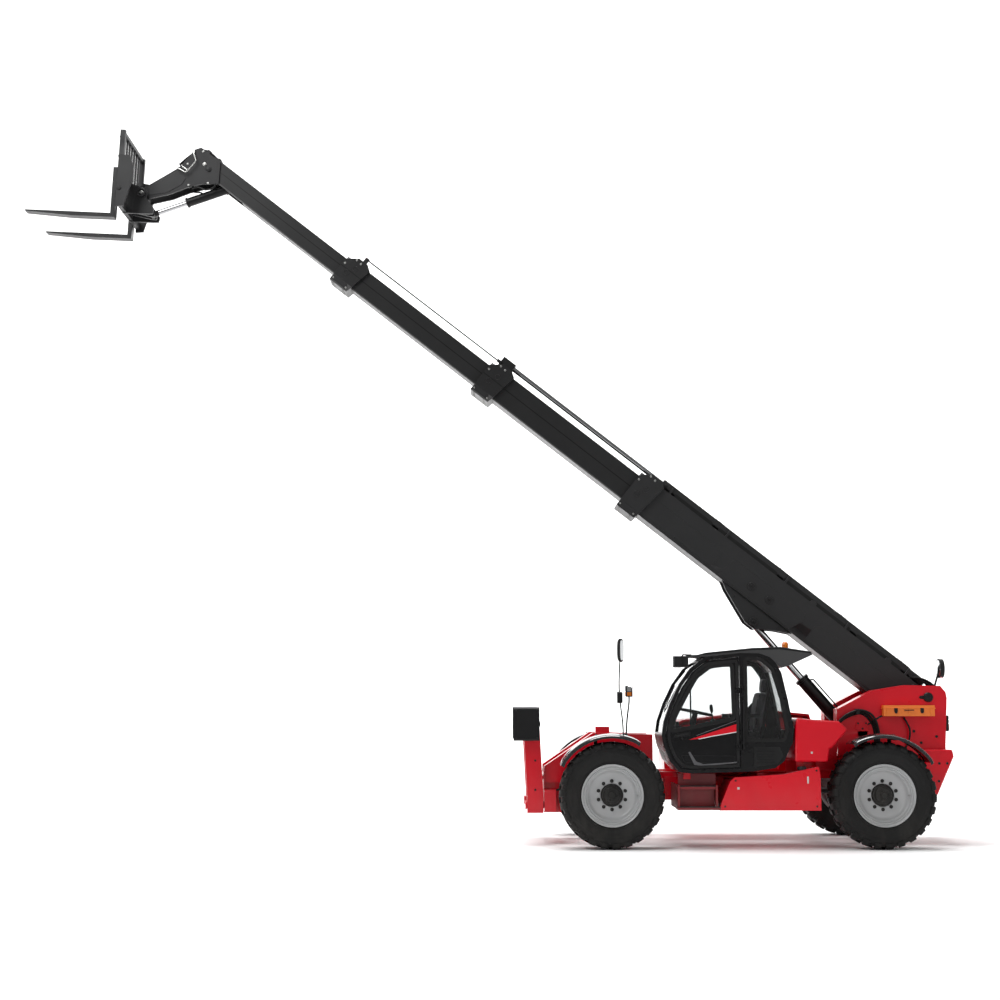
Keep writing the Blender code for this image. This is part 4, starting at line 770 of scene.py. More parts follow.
def mudguard_mesh(x, side, low, high):
    """A moulded guard with a rolled outer lip and a raised middle rib."""
    bench = Bench()
    rows, steps = [], 44
    section = [(0.8, -0.004), (0.803, 0.01), (0.815, 0.014), (0.98, 0.015), (1.0, 0.021), (1.06, 0.021),
               (1.08, 0.015), (1.165, 0.014), (1.196, 0.008), (1.208, -0.006), (1.208, -0.03),
               (1.203, -0.03), (1.202, -0.008), (1.192, 0.002), (1.165, 0.007), (0.815, 0.007),
               (0.808, 0.004), (0.805, -0.004)]
    for i in range(steps + 1):
        a = math.radians(low + (high - low) * i / steps)
        end = min(i, steps - i) / 3
        fade = 0.0 if end >= 1 else 0.012 * (1 - end) ** 2
        row = []
        for y, up in section:
            reach = GUARD_RADIUS + up - fade
            spot = (x + reach * math.cos(a), side * y, TYRE_R + reach * math.sin(a))
            row.append(bench.mesh.verts.new(spot))
        rows.append(row)
    count = len(section)
    for a, b in zip(rows, rows[1:]):
        for i in range(count):
            j = (i + 1) % count
            bench.mesh.faces.new((a[i], a[j], b[j], b[i]))
    bench.mesh.faces.new(rows[0][::-1])
    bench.mesh.faces.new(rows[-1])
    return bench


def wheels():
    """Each wheel with its valve, its mudguard's bolts and the caps of its king pin."""
    for name, (x, side) in WHEELS.items():
        place = MACHINE @ Matrix.Translation((x, side * WHEEL_Y, TYRE_R))
        tyre_mesh().done(f"treaded_tyre_{name}", f"wheel_{name}", tyre_rubber, place, 30, (f"tyre_{name}",))
        rim_mesh(side).done(f"pressed_rim_{name}", f"wheel_{name}", rim_silver, place, 40, (f"rim_{name}",))
        hub_mesh(side).done(f"hub_and_nuts_{name}", f"wheel_{name}", cast_black, place, 35)
        valve = Bench()
        stem = [(0.27, side * 0.09, 0), (0.27, side * 0.125, 0), (0.285, side * 0.15, 0)]
        valve.pipe(rounded_path(stem, 0.01), 0.004, 8)
        valve.done(f"tyre_valve_{name}", f"wheel_{name}", bolt_zinc, place)
        low, high = (33.0, 121.0) if x > 1 else (61.0, 150.0)
        guard = mudguard_mesh(x, side, low, high)
        guard.done(f"moulded_guard_{name}", f"knuckle_{name}", guard_gloss, MACHINE, 40,
                   (f"mudguard_{name}",))
        bolts = Bench()
        rear = 1 if x > 1 else -1
        top = TYRE_R + math.sqrt(0.67 ** 2 - 0.16 ** 2)
        for y in (0.87, 0.94, 1.02):
            bolts.bolt((x + rear * 0.16, side * y, top + 0.006), (rear * 0.24, 0, 1), 0.01)
        bolts.done(f"guard_bolts_{name}", f"knuckle_{name}", bolt_black)
        pins = Bench()
        for up in (-1, 1):
            z = TYRE_R + up * KING_PIN_UP
            pins.cap(0.046, 0.01, 0.038, 0.016, (x, side * KING_PIN_Y, z), (0, 0, up), 24)
            for a in (0.6, 2.7, 4.8):
                spot = (x + 0.032 * math.cos(a), side * KING_PIN_Y + 0.032 * math.sin(a), z + up * 0.014)
                pins.bolt(spot, (0, 0, up), 0.006, washer=False)
        pins.done(f"king_pin_caps_{name}", f"knuckle_{name}", bolt_black)


wheels()


# ---------------------------------------------------------------- boom
def cylinder_pieces(name, start, end, barrel_length, radius, rod_radius, rod_from, eye, rod_eye, width,
                    rod_width, bodies, place, barrel_node, rod_node, oil_pipe=False):
    """A smooth barrel with its gland, ports and eye, and a chromed rod with its eye."""
    start, end = Vector(start), Vector(end)
    way = (end - start).normalized()
    across = Vector((0, 1, 0)) if abs(way.y) < 0.5 else Vector((1, 0, 0))
    bench = Bench()
    low, high = eye * 0.75, barrel_length
    lip = radius * 1.14
    bench.turned([(rod_radius + 0.0006, high - 0.02), (rod_radius + 0.0006, high + 0.004),
                  (lip - 0.006, high + 0.004), (lip, high - 0.002), (lip, high - radius * 0.45),
                  (radius, high - radius * 0.5), (radius, low + 0.03), (radius * 0.8, low), (0, low)],
                 start, way, 56)
    bench.turned([(radius + 0.006, low + 0.055), (radius + 0.01, low + 0.06), (radius + 0.01, low + 0.085),
                  (radius + 0.006, low + 0.09)], start, way, 48)
    bench.bar(start - across * width, start + across * width, eye, 40)
    bench.done(f"{name}_smooth_barrel", bodies[0], frame_black, place, 40, (barrel_node,))
    bar = Bench()
    length = (end - start).length
    bar.turned([(0, rod_from), (rod_radius, rod_from), (rod_radius, length - rod_eye * 0.8),
                (0, length - rod_eye * 0.8)], start, way, 56)
    bar.done(f"{name}_chromed_rod", bodies[1], chrome_rod, place, 40, (rod_node,))
    head = Bench()
    head.bar(end - across * rod_width, end + across * rod_width, rod_eye, 40)
    head.turned([(rod_radius * 0.9, length - rod_eye * 2.0), (rod_eye * 0.85, length - rod_eye * 1.4),
                 (rod_eye * 0.9, length - rod_eye * 0.3)], start, way, 32)
    head.done(f"{name}_rod_eye", bodies[1], frame_black, place, 40)
    if oil_pipe:
        pipe = Bench()
        off = across.cross(way).normalized()
        pipe.pipe(rounded_path([start + way * (low + 0.09) + off * radius * 0.8,
                                start + way * (low + 0.1) + off * (radius + 0.028),
                                start + way * (high - 0.1) + off * (radius + 0.028),
                                start + way * (high - 0.08) + off * radius * 0.9], 0.03), 0.009)
        for share in (0.25, 0.62):
            spot = start + way * (high * share) + off * (radius + 0.014)
            pipe.bar(spot - across * 0.016, spot + across * 0.016, 0.02, 12)
        pipe.done(f"{name}_oil_pipe", bodies[0], frame_black, place)


def collar_details(k):
    """Bolts, bosses and wear-pad plates on the collar at the front of a section."""
    front, half = SECTION_FRONT[k], SECTION_HALF[k] + COLLAR_LIP[k]
    low, top = SECTION_LOW[k] - 0.07, SECTION_TOP[k] + 0.055
    bolts, rims = Bench(), Bench()
    for side in (-1, 1):
        y = side * half
        for s, n in ((front - 0.028, low + 0.04), (front - 0.225, low + 0.035),
                     (front - 0.028, top - 0.15), (front - 0.12, top - 0.035), (front - 0.19, top - 0.045)):
            bolts.bolt((-s, y, n), (0, side, 0), 0.011)
        for s, n in ((front - 0.11, 0.5 * (low + top) - 0.02), (front - 0.17, 0.5 * (low + top) + 0.08)):
            rims.ring((-s, y - side * 0.001, n), (0, side, 0), 0.036, 0.008, 0.006)
        rims.plate([(-front + 0.012, low + 0.02), (-front + 0.012, low + 0.085),
                    (-front + 0.215, low + 0.085), (-front + 0.23, low + 0.02)], y - side * 0.0005,
                   y + side * 0.006, 0.002)
    for y in (-half * 0.6, 0.0, half * 0.6):
        bolts.bolt((-front + 0.05, y, low), (0, 0, -1), 0.01)
        bolts.bolt((-front + 0.2, y, low), (0, 0, -1), 0.01)
    bolts.done(f"collar_bolts_{k + 1}", f"boom_{k + 1}", bolt_zinc, BOOM)
    rims.done(f"collar_plates_{k + 1}", f"boom_{k + 1}", boom_charcoal, BOOM, 30)


def boom_details():
    """Plates, rail, painted shade of the channel under the rail, rope, rear end and hoses of the boom, and
    its collars.
    """
    half = SECTION_HALF[0]
    plates, bolts, dark = Bench(), Bench(), Bench()
    for side in (-1, 1):
        y0, y1 = side * (half - 0.001), side * (half + 0.005)
        plates.plate([(-1.7, -0.318), (-1.62, -0.14), (-1.66, -0.05), (-2.7, -0.05), (-2.755, -0.318)], y0,
                     y1, 0.002)
        plates.plate([(-0.16, -0.2), (-0.3, -0.06), (-1.42, -0.06), (-1.48, -0.1), (-1.48, -0.3),
                      (-0.3, -0.3)], y0, side * (half + 0.003), 0.0015)
        plates.plate([(-2.86, -0.1), (-2.9, -0.06), (-3.86, -0.06), (-3.9, -0.1), (-3.9, -0.27),
                      (-3.86, -0.3), (-2.9, -0.3), (-2.86, -0.27)], y0, side * (half + 0.003), 0.0015)
        # the rail along the top edge, with black sheets below it that paint the shade of the channel
        plates.plate([(-0.2, 0.128), (-0.3, 0.205), (-3.84, 0.205), (-3.84, 0.128)], side * 0.112,
                     side * 0.12, 0.002)
        plates.block((-3.86, -0.2), (side * 0.15, side * 0.166), (0.086, 0.098))
        for s0, s1 in ((0.36, 1.02), (1.1, 2.1), (2.18, 3.06), (3.14, 3.72)):
            dark.plate([(-s1, 0.1), (-s1, 0.146), (-s0 - 0.03, 0.146), (-s0, 0.1)], side * 0.119,
                       side * 0.1225)
        for s in (0.3, 1.18, 2.06, 2.94, 3.78):
            plates.block((-s - 0.012, -s + 0.012), (side * 0.108, side * 0.15), (0.09, 0.196), 0.002)
        for s, n in ((2.088, -0.184), (2.349, -0.184)):
            plates.ring((-s, side * (half + 0.012), n), (0, side, 0), 0.047, 0.01, 0.01)
            bolts.bolt((-s, side * (half + 0.013), n), (0, side, 0), 0.015)
        for s in (0.559, 1.653):
            lug = [(-s - 0.045, 0.088), (-s - 0.035, 0.125), (-s, 0.142), (-s + 0.035, 0.125),
                   (-s + 0.045, 0.088)]
            plates.plate(lug, side * (half - 0.014), side * (half + 0.001), 0.002)
        plates.ring((-2.077, side * 0.147, -0.5), (0, side, 0), 0.05, 0.012, 0.01)
        bolts.bolt((-2.077, side * 0.148, -0.5), (0, side, 0), 0.02)
        for s, n in ((1.8, -0.37), (2.44, -0.4)):
            bolts.bolt((-s, side * 0.128, n), (0, side, 0), 0.009)
        for s in (3.3, 3.42):
            bolts.bolt((-s, side * half, -0.33 + 0.045), (0, side, 0), 0.009)
    for s in (0.42, 1.3, 2.2, 3.1):
        plates.block((-s - 0.07, -s + 0.07), (-0.125, 0.125), (0.196, 0.206), 0.002)
        bolts.bolt((-s, -0.09, 0.205), (0, 0, 1), 0.01)
        bolts.bolt((-s, 0.09, 0.205), (0, 0, 1), 0.01)
    plates.turned([(0.052, -0.02), (0.06, -0.02), (0.06, 0.07), (0.052, 0.07)], (-3.86, 0, TOP_AXIS),
                  (-1, 0, 0), 40)
    plates.done("boom_side_plates", "boom_1", boom_charcoal, BOOM, 30)
    dark.done("boom_top_channel_shade", "boom_1", seal_rubber_and_shade, BOOM)
    bolts.done("boom_bolts", "boom_1", bolt_black, BOOM)
    rope = Bench()
    ends = ((-6.38, -0.086, 0.119), (-8.42, -0.086, 0.119))
    rope.pipe(ends, 0.009, 12)
    rope.mesh.normal_update()
    pull = rope.done("section_3_pull_rope", None, frame_black, BOOM)
    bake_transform(pull)
    for (x, y, z), body, low_n in ((ends[0], "boom_2", 0.104), (ends[1], "boom_3", 0.06)):
        clamp = Bench()
        clamp.block((x - 0.026, x + 0.026), (y - 0.02, y + 0.02), (low_n, z + 0.02), 0.004)
        clamp.bolt((x, y - 0.02, z), (0, -1, 0), 0.008)
        clamp.done(f"rope_clamp_{body}", body, boom_charcoal, BOOM)
    end = Bench()
    for side in (-1, 1):
        for s in (0.02, 0.16):
            end.bolt((-s, side * half, 0.055), (0, side, 0), 0.012)
        end.cap(0.075, 0.01, 0.06, 0.016, (0, side * (half + 0.0005), 0), (0, side, 0), 40)
    end.block((0.098, 0.108), (-0.15, 0.15), (-0.3, 0.06), 0.002)
    for y in (-0.12, 0.12):
        for n in (-0.26, 0.03):
            end.bolt((0.108, y, n), (1, 0, 0), 0.01)
    end.done("boom_rear_plate", "boom_1", boom_charcoal, BOOM)
    hoses = Bench()
    for i, y in enumerate((-0.104, -0.073, 0.073, 0.104)):
        hoses.pipe(smooth_path([(0.06, y, 0.11), (0.1, y, 0.16), (0.05, y, 0.21 - 0.01 * (i % 2)),
                                (-0.06, y, 0.205), (-0.16, y, 0.165), (-0.23, y, 0.112)]), 0.013)
    hoses.done("boom_rear_hoses", "boom_1", hose_rubber, BOOM)
    for k in range(3):
        collar_details(k)


def head_details():
    """Bolts, pin covers, side plates, wire guards and hoses of the boom head."""
    half = 0.119
    bolts, wires, plates, hose = Bench(), Bench(), Bench(), Bench()
    for side in (-1, 1):
        y = side * half
        for s, n in ((10.551, -0.335), (10.85, -0.06), (10.9, -0.3), (10.72, -0.5)):
            bolts.bolt((-s, y, n), (0, side, 0), 0.011)
        plates.cap(0.034, 0.01, 0.028, 0.014, (-10.657, y, -0.193), (0, side, 0), 28)
        plates.plate([(-10.94, -0.43), (-10.98, -0.56), (-11.09, -0.83), (-11.02, -0.9), (-10.87, -0.74),
                      (-10.79, -0.55), (-10.8, -0.45)], y - side * 0.001, y + side * 0.006, 0.002)
        plates.ring((-11.081, side * 0.214, -0.937), (0, side, 0), 0.046, 0.012, 0.012)
        bolts.bolt((-11.081, side * 0.214, -0.937), (0, side, 0), 0.021)
        bolts.bolt((-10.735, y, -0.174), (0, side, 0), 0.019)
        path = [(-10.934, y + side * 0.006, -0.12), (-10.92, y + side * 0.055, -0.15),
                (-10.822, y + side * 0.06, -0.215), (-10.826, y + side * 0.06, -0.405),
                (-10.958, y + side * 0.05, -0.425), (-10.95, y + side * 0.004, -0.395)]
        wires.pipe(rounded_path(path, 0.03), 0.0075)
        wires.pipe(rounded_path([(-10.84, y + side * 0.06, -0.372), (-10.925, y + side * 0.052, -0.372),
                                 (-10.945, y + side * 0.004, -0.35)], 0.02), 0.0065)
    for y in (-0.06, -0.02, 0.02, 0.06):
        hose.pipe(smooth_path([(-10.6, y, -0.03), (-10.74, y, -0.01), (-10.85, y, -0.02),
                               (-10.925, y, -0.085), (-10.965, y, -0.2), (-10.995, y, -0.36)]), 0.012)
    for y in (-0.1, 0.1):
        hose.pipe(smooth_path([(-10.5, y, -0.24), (-10.46, y * 1.2, -0.33), (-10.52, y * 1.25, -0.42),
                               (-10.62, y * 1.1, -0.45), (-10.68, y * 0.8, -0.5)]), 0.01)
    bolts.done("head_bolts", "boom_4", bolt_zinc, BOOM)
    plates.done("head_plates", "boom_4", boom_charcoal, BOOM)
    wires.done("head_wire_guards", "boom_4", bright_wire, BOOM)
    hose.done("head_hoses", "boom_4", hose_rubber, BOOM)
    clamp = Bench()
    clamp.block((-10.83, -10.78), (-0.085, 0.085), (-0.034, 0.008), 0.003)
    clamp.block((-10.66, -10.62), (-0.085, 0.085), (-0.042, 0.002), 0.003)
    clamp.done("head_hose_clamps", "boom_4", frame_black, BOOM)


def cylinders():
    """The lift cylinder, the tilt cylinder and the two of the stabilisers."""

    def in_machine(s, n):
        return (PIVOT[0] - math.cos(BOOM_TURN) * s + math.sin(BOOM_TURN) * n, 0.0,
                PIVOT[1] + math.sin(BOOM_TURN) * s + math.cos(BOOM_TURN) * n)
    cylinder_pieces("lift_cylinder", (3.297, 0, 0.762), in_machine(2.077, -0.5), 1.49, 0.075, 0.043, 0.845,
                    0.075, 0.042, 0.055, 0.089, ("lift_barrel", "lift_rod"), MACHINE,
                    "lift_cylinder_barrel", "lift_cylinder_rod", oil_pipe=True)
    cylinder_pieces("tilt_cylinder", (-10.3, 0, -0.15), (-10.866, 0, -1.04), 0.62, 0.055, 0.032, 0.3, 0.05,
                    0.042, 0.04, 0.04, ("tilt_barrel", "tilt_rod"), BOOM, "tilt_cylinder_barrel",
                    "tilt_cylinder_rod")
    for side_name, side in (("left", -1), ("right", 1)):
        x = -0.8 if side < 0 else -0.885
        cylinder_pieces(f"stabiliser_cylinder_{side_name}", (x, -side * 0.36, 0.72), (x, side * 0.37, 0.8),
                        0.672, 0.038, 0.02, 0.086, 0.036, 0.03, 0.018, 0.018,
                        (f"stabiliser_barrel_{side_name}", f"stabiliser_rod_{side_name}"), MACHINE,
                        f"stabiliser_cylinder_{side_name}_barrel", f"stabiliser_cylinder_{side_name}_rod")


boom_details()
head_details()
cylinders()


# ---------------------------------------------------------------- chassis
def chassis_details():
    """Drive shaft, axle and tower bolts, pivot covers, rear lamps, tank fittings and tow hitch."""
    bolts, plates, drive, lamps, reds, marks = (Bench() for _ in range(6))
    # drive shaft between the axles
    drive.turned([(0, 0.16), (0.05, 0.16), (0.05, 0.2), (0.032, 0.24), (0.032, 1.1), (0.052, 1.12),
                  (0.052, 1.17), (0.032, 1.2), (0.032, 2.74), (0.05, 2.78), (0.05, 2.84), (0, 2.84)],
                 (0, 0, TYRE_R), (1, 0, 0), 28)
    drive.done("drive_shaft", "chassis", frame_black)
    for x in (0.0, 3.0):
        toward = 1 if x < 1 else -1
        for y, z in round_spots(12, 0.105):
            bolts.bolt((x + toward * 0.152, y, TYRE_R + z), (toward, 0, 0), 0.009, washer=False)
    for side in (-1, 1):
        face = side * TOWER_OUT
        plates.cap(0.056, 0.014, 0.048, 0.022, (PIVOT[0], face, PIVOT[1]), (0, side, 0), 40)
        plates.plate([(3.6, 1.652), (3.59, 1.667), (3.6, 1.682), (3.66, 1.69), (3.66, 1.644)], face,
                     face + side * 0.01, 0.002)
        bolts.bolt((3.615, face + side * 0.01, 1.667), (0, side, 0), 0.009, washer=False)
        for a in (0.5, 2.6, 4.7):
            bolts.bolt((PIVOT[0] + 0.032 * math.cos(a), face + side * 0.02,
                        PIVOT[1] + 0.032 * math.sin(a)), (0, side, 0), 0.007, washer=False)
        for x, z in ((3.52, 1.28), (3.6, 1.15), (3.78, 1.22)):
            bolts.bolt((x, face, z), (0, side, 0), 0.013)
        for x, z in ((3.76, 0.92), (3.85, 0.92), (3.75, 0.72)):
            bolts.bolt((x, side * 0.62, z), (0, side, 0), 0.012)
        reds.block((3.925, 3.934), (side * 0.33, side * 0.45), (1.29, 1.365), 0.003)
        lamps.block((3.925, 3.934), (side * 0.33, side * 0.45), (1.375, 1.41), 0.003)
        lamps.block((3.925, 3.934), (side * 0.33, side * 0.45), (1.42, 1.45), 0.003)
    tank_face, cover_face = -1.16, -1.15
    for x, z in ((1.36, 0.75), (2.255, 0.86), (2.255, 0.47), (1.24, 0.47)):
        bolts.bolt((x, tank_face, z), (0, -1, 0), 0.009)
    plates.turned([(0, 0), (0.045, 0), (0.048, 0.006), (0.048, 0.03), (0.04, 0.038), (0, 0.038)],
                  (2.1, -1.125, 0.868), (-0.1, 0, 1), 28)
    for x, y in round_spots(8, 0.048):
        plates.bar((2.1 + x, -1.125 + y, 0.872), (2.1 + x, -1.125 + y, 0.9), 0.005, 8)
    for x, z, face in (((1.378, 1.403), (0.655, 0.68), tank_face),
                       ((2.15, 2.168), (0.72, 0.795), tank_face),
                       ((2.2, 2.221), (1.045, 1.066), cover_face)):
        marks.block(x, (face - 0.003, face + 0.001), z)
    marks.done("blank_marks", "chassis", plate_blank)
    # tow hitch under the tail
    plates.block((3.74, 3.9), (-0.1, 0.1), (0.6, 0.63), 0.004)
    plates.bar((3.85, 0, 0.585), (3.85, 0, 0.7), 0.02, 20)
    bolts.done("chassis_bolts", "chassis", bolt_black)
    plates.done("chassis_plates", "chassis", frame_black)
    lamps.done("rear_lamp_lenses", "chassis", lamp_glass)
    reds.done("rear_red_lenses", "chassis", red_lens)


def step_edges():
    """Serrated grips along the fronts of the two cab steps, tread plates, and risers behind them in a dark
    red that paints the shade of the recess.
    """
    grips, treads = Bench(), Bench()
    for x0, x1, y, z in ((0.72, 1.19, -1.17, 0.462), (0.72, 1.165, -1.13, 0.687)):
        teeth, steps = [(x0, z - 0.004)], int((x1 - x0) / 0.018)
        for i in range(steps):
            a = x0 + (x1 - x0) * i / steps
            wide = (x1 - x0) / steps
            teeth += [(a, z + 0.01), (a + 0.45 * wide, z + 0.01), (a + 0.5 * wide, z + 0.002),
                      (a + 0.95 * wide, z + 0.002)]
        teeth += [(x1, z - 0.004)]
        grips.plate(teeth, y - 0.001, y + 0.01)
        for row in range(1, 9):
            depth = y + 0.01 + row * 0.024
            grips.block((x0 + 0.01, x1 - 0.01), (depth, depth + 0.006), (z - 0.003, z + 0.003))
        treads.block((x0 + 0.005, x1 - 0.005), (y + 0.001, y + 0.2), (z - 0.003, z - 0.0005))
    # risers behind the steps, whose dark red is painted shade of the recess
    treads.block((0.748, 1.142), (-1.04, -1.01), (0.462, 0.652), 0.002)
    treads.block((0.742, 1.162), (-0.99, -0.96), (0.688, 0.822), 0.002)
    grips.done("step_grips", "chassis", bolt_black)
    treads.done("step_treads_and_shaded_risers", "chassis", step_red_and_shade)


def stabiliser_details():
    """Pin caps and bolts on the legs and the pads."""
    for name, side in (("left", -1), ("right", 1)):
        leg, pad = Bench(), Bench()
        for x, way in ((-0.93, -1), (-0.745, 1)):
            leg.cap(0.04, 0.008, 0.032, 0.013, (x, side * 0.5, 0.45), (way, 0, 0), 28)
            leg.bolt((x + way * 0.012, side * 0.5, 0.45), (way, 0, 0), 0.012, washer=False)
        for z in (0.62, 0.95):
            leg.bolt((-0.838, side * 0.56, z), (0, side, 0), 0.01)
        leg.done(f"leg_pin_caps_{name}", f"stabiliser_leg_{name}", bolt_black)
        for x in (-1.06, -0.817):
            for z in (1.205, 1.525):
                pad.bolt((x, side * 0.705, z), (0, side, 0), 0.01)
        pad.cap(0.03, 0.008, 0.024, 0.012, (-0.79, side * 0.6, 1.365), (1, 0, 0), 24)
        pad.done(f"pad_bolts_{name}", f"stabiliser_pad_{name}", bolt_black)


def lift_post_hoses():
    """Hose loops beside the tower, the red bracket with its strut, and the cable on the frame."""
    hose, clips, bracket, strut = Bench(), Bench(), Bench(), Bench()
    for dy, grow in ((0.0, 0.0), (-0.034, 0.018), (0.034, -0.018)):
        y = -0.5 + dy * 0.9
        hose.pipe(smooth_path([(2.6 - grow, y, 1.26), (2.64 - grow, y, 1.36), (2.74, y, 1.45 + grow),
                               (2.9, y, 1.502 + grow), (3.02 + grow, y, 1.44 + grow),
                               (3.08 + grow, y, 1.3), (3.085 + grow, y, 1.1),
                               (3.1 + grow, y * 0.9, 0.92)]), 0.0135)
    hose.pipe(smooth_path([(3.4, -0.5, 1.44), (3.46, -0.525, 1.3), (3.44, -0.5, 1.14), (3.36, -0.46, 1.02),
                           (3.3, -0.42, 0.92)]), 0.011)
    for y in (-0.42, -0.39):
        hose.pipe(smooth_path([(0.55, y, 0.7), (0.3, y, 0.78), (0.1, y, 0.8), (-0.2, y, 0.76),
                               (-0.45, y, 0.66), (-0.62, y, 0.6)]), 0.012)
    clips.block((2.845, 2.885), (-0.552, -0.448), (1.47, 1.535), 0.004)
    clips.block((2.59, 2.625), (-0.55, -0.455), (1.246, 1.27), 0.003)
    clips.block((3.075, 3.125), (-0.55, -0.44), (1.075, 1.11), 0.003)
    bracket.plate([(2.84, 1.3), (2.86, 1.395), (2.97, 1.399), (3.005, 1.36), (3.0, 1.279), (2.9, 1.281)],
                  -0.475, -0.455, 0.003)
    bracket.plate([(2.87, 1.281), (2.99, 1.281), (2.975, 1.05), (2.885, 1.05)], -0.47, -0.458, 0.002)
    for x, z in ((2.88, 1.37), (2.97, 1.37), (2.93, 1.31)):
        clips.bolt((x, -0.475, z), (0, -1, 0), 0.009)
    strut.pipe(rounded_path([(2.985, -0.466, 1.35), (3.09, -0.466, 1.42), (3.24, -0.466, 1.5)], 0.03),
               0.011)
    bracket.plate([(2.375, 0.84), (2.6, 0.84), (2.66, 1.29), (2.52, 1.395), (2.4, 1.4)], -0.492, -0.478,
                  0.003)
    hose.done("service_hoses", "chassis", hose_rubber)
    clips.done("hose_clips", "chassis", bolt_black)
    bracket.done("hose_bracket", "chassis", body_red)
    strut.done("bracket_strut", "chassis", frame_black)


def tool_box_details():
    """Latches, handle, ribs and lid of the tool box."""
    black, orange = Bench(), Bench()
    y = -0.56
    for x in (3.3, 3.6):
        black.block((x - 0.02, x + 0.02), (y, y - 0.008), (1.5, 1.545), 0.002)
        black.block((x - 0.014, x + 0.014), (y, y - 0.012), (1.485, 1.512), 0.002)
    black.pipe(rounded_path([(3.4, y, 1.52), (3.4, y - 0.024, 1.52), (3.5, y - 0.024, 1.52),
                             (3.5, y, 1.52)], 0.012), 0.005)
    orange.block((3.15, 3.753), (y - 0.006, -0.4715), (1.536, 1.548), 0.002)
    for x in (3.2, 3.45, 3.7):
        orange.block((x - 0.008, x + 0.008), (y - 0.005, y + 0.001), (1.456, 1.534), 0.002)
    black.done("tool_box_latches", "chassis", bolt_black)
    orange.done("tool_box_lid_lip", "chassis", tool_orange)


def hood_details():
    """Louvres, a handle and catches on the hood, and the pipes, bolts and filter on the engine."""
    dark, louvre = Bench(), Bench()
    y = 1.17
    for x0, x1 in ((0.98, 1.4), (1.5, 1.92)):
        # a black sheet behind the louvre slats paints the shade inside the grille's openings
        dark.block((x0, x1), (y - 0.0005, y + 0.003), (1.1, 1.34))
        for i in range(9):
            z = 1.115 + 0.026 * i
            louvre.block((x0 + 0.012, x1 - 0.012), (y + 0.002, y + 0.012), (z, z + 0.01), 0.002)
        for z in (1.1, 1.34):
            louvre.block((x0, x1), (y, y + 0.014), (z, z + 0.012), 0.002)
    louvre.pipe(rounded_path([(2.02, y, 1.05), (2.02, y + 0.035, 1.05), (2.18, y + 0.035, 1.05),
                              (2.18, y, 1.05)], 0.012), 0.007)
    for x in (0.84, 2.24):
        louvre.cap(0.022, 0.006, 0.016, 0.01, (x, y, 1.05), (0, 1, 0), 20)
    dark.done("hood_grille_painted_shade", "engine_hood", seal_rubber_and_shade)
    louvre.done("hood_louvres", "engine_hood", bolt_black)
    pod = Bench()
    for x in (0.85, 1.3, 1.75, 2.2):
        pod.bolt((x, y, 0.93), (0, 1, 0), 0.01)
        pod.bolt((x, y, 0.6), (0, 1, 0), 0.01)
    pod.block((0.9, 1.5), (y - 0.0005, y + 0.006), (0.66, 0.88), 0.002)
    pod.done("pod_bolts", "chassis", bolt_black)
    engine = Bench()
    for i in range(4):
        x = 1.2 + 0.19 * i
        engine.pipe(rounded_path([(x, 0.96, 1.22), (x, 1.045, 1.25), (x, 1.055, 1.12)], 0.03), 0.016)
        engine.bolt((x, 0.82, 1.32), (0, 0, 1), 0.014)
    engine.bar((1.12, 1.06, 1.1), (1.9, 1.06, 1.1), 0.03, 20)
    engine.cap(0.05, 0.1, 0.045, 0.11, (1.3, 1.02, 0.75), (0, 1, 0), 28)
    engine.pipe(smooth_path([(1.85, 0.7, 1.3), (1.98, 0.66, 1.28), (2.08, 0.66, 1.15),
                             (2.12, 0.72, 1.02)]), 0.026)
    engine.done("engine_dressing", "chassis", cast_iron)


chassis_details()
step_edges()
stabiliser_details()
lift_post_hoses()
tool_box_details()
hood_details()


# ---------------------------------------------------------------- cab
DOOR_WINDOW = [(0.66, 1.3), (1.345, 1.44), (1.33, 2.02), (1.1, 1.99), (0.955, 1.88), (0.86, 1.72),
               (0.72, 1.46)]
QUARTER = [(1.5, 2.085), (1.66, 2.078), (1.78, 1.98), (1.88, 1.64), (1.935, 1.32), (1.905, 1.2), (1.5, 1.2)]
DOOR_EDGE = [(1.412, 0.895), (1.412, 2.085), (1.06, 2.05), (0.93, 1.955), (0.8, 1.775), (0.7, 1.575),
             (0.63, 1.385), (0.612, 1.245), (0.632, 1.13), (0.692, 0.99), (0.775, 0.898), (0.87, 0.882)]


def closed_band(bench, outline, outer, inner, y0, y1):
    """A flat band that follows a closed outline, between two distances inside it."""
    big, small = inset(outline, outer), inset(outline, inner)
    count = len(outline)
    points = [(p[0], y, p[1]) for y in (y0, y1) for ring in (big, small) for p in ring]
    faces = []
    for i in range(count):
        j = (i + 1) % count
        a, b, c, d = i, j, count + j, count + i
        faces += [(a, b, c, d), (2 * count + a, 2 * count + d, 2 * count + c, 2 * count + b),
                  (a, 2 * count + a, 2 * count + b, b), (d, c, 2 * count + c, 2 * count + d)]
    bench.faces(points, faces)


def rounded_outline(outline, radius=0.03, steps=4):
    """A closed outline with its corners rounded."""
    count, found = len(outline), []
    for i in range(count):
        before, here, after = (Vector(outline[(i + k) % count]) for k in (-1, 0, 1))
        back, on = before - here, after - here
        reach = min(radius, 0.4 * back.length, 0.4 * on.length)
        a, b = here + back.normalized() * reach, here + on.normalized() * reach
        for k in range(steps + 1):
            t = k / steps
            found.append(tuple((1 - t) ** 2 * a + 2 * t * (1 - t) * here + t * t * b))
    return found


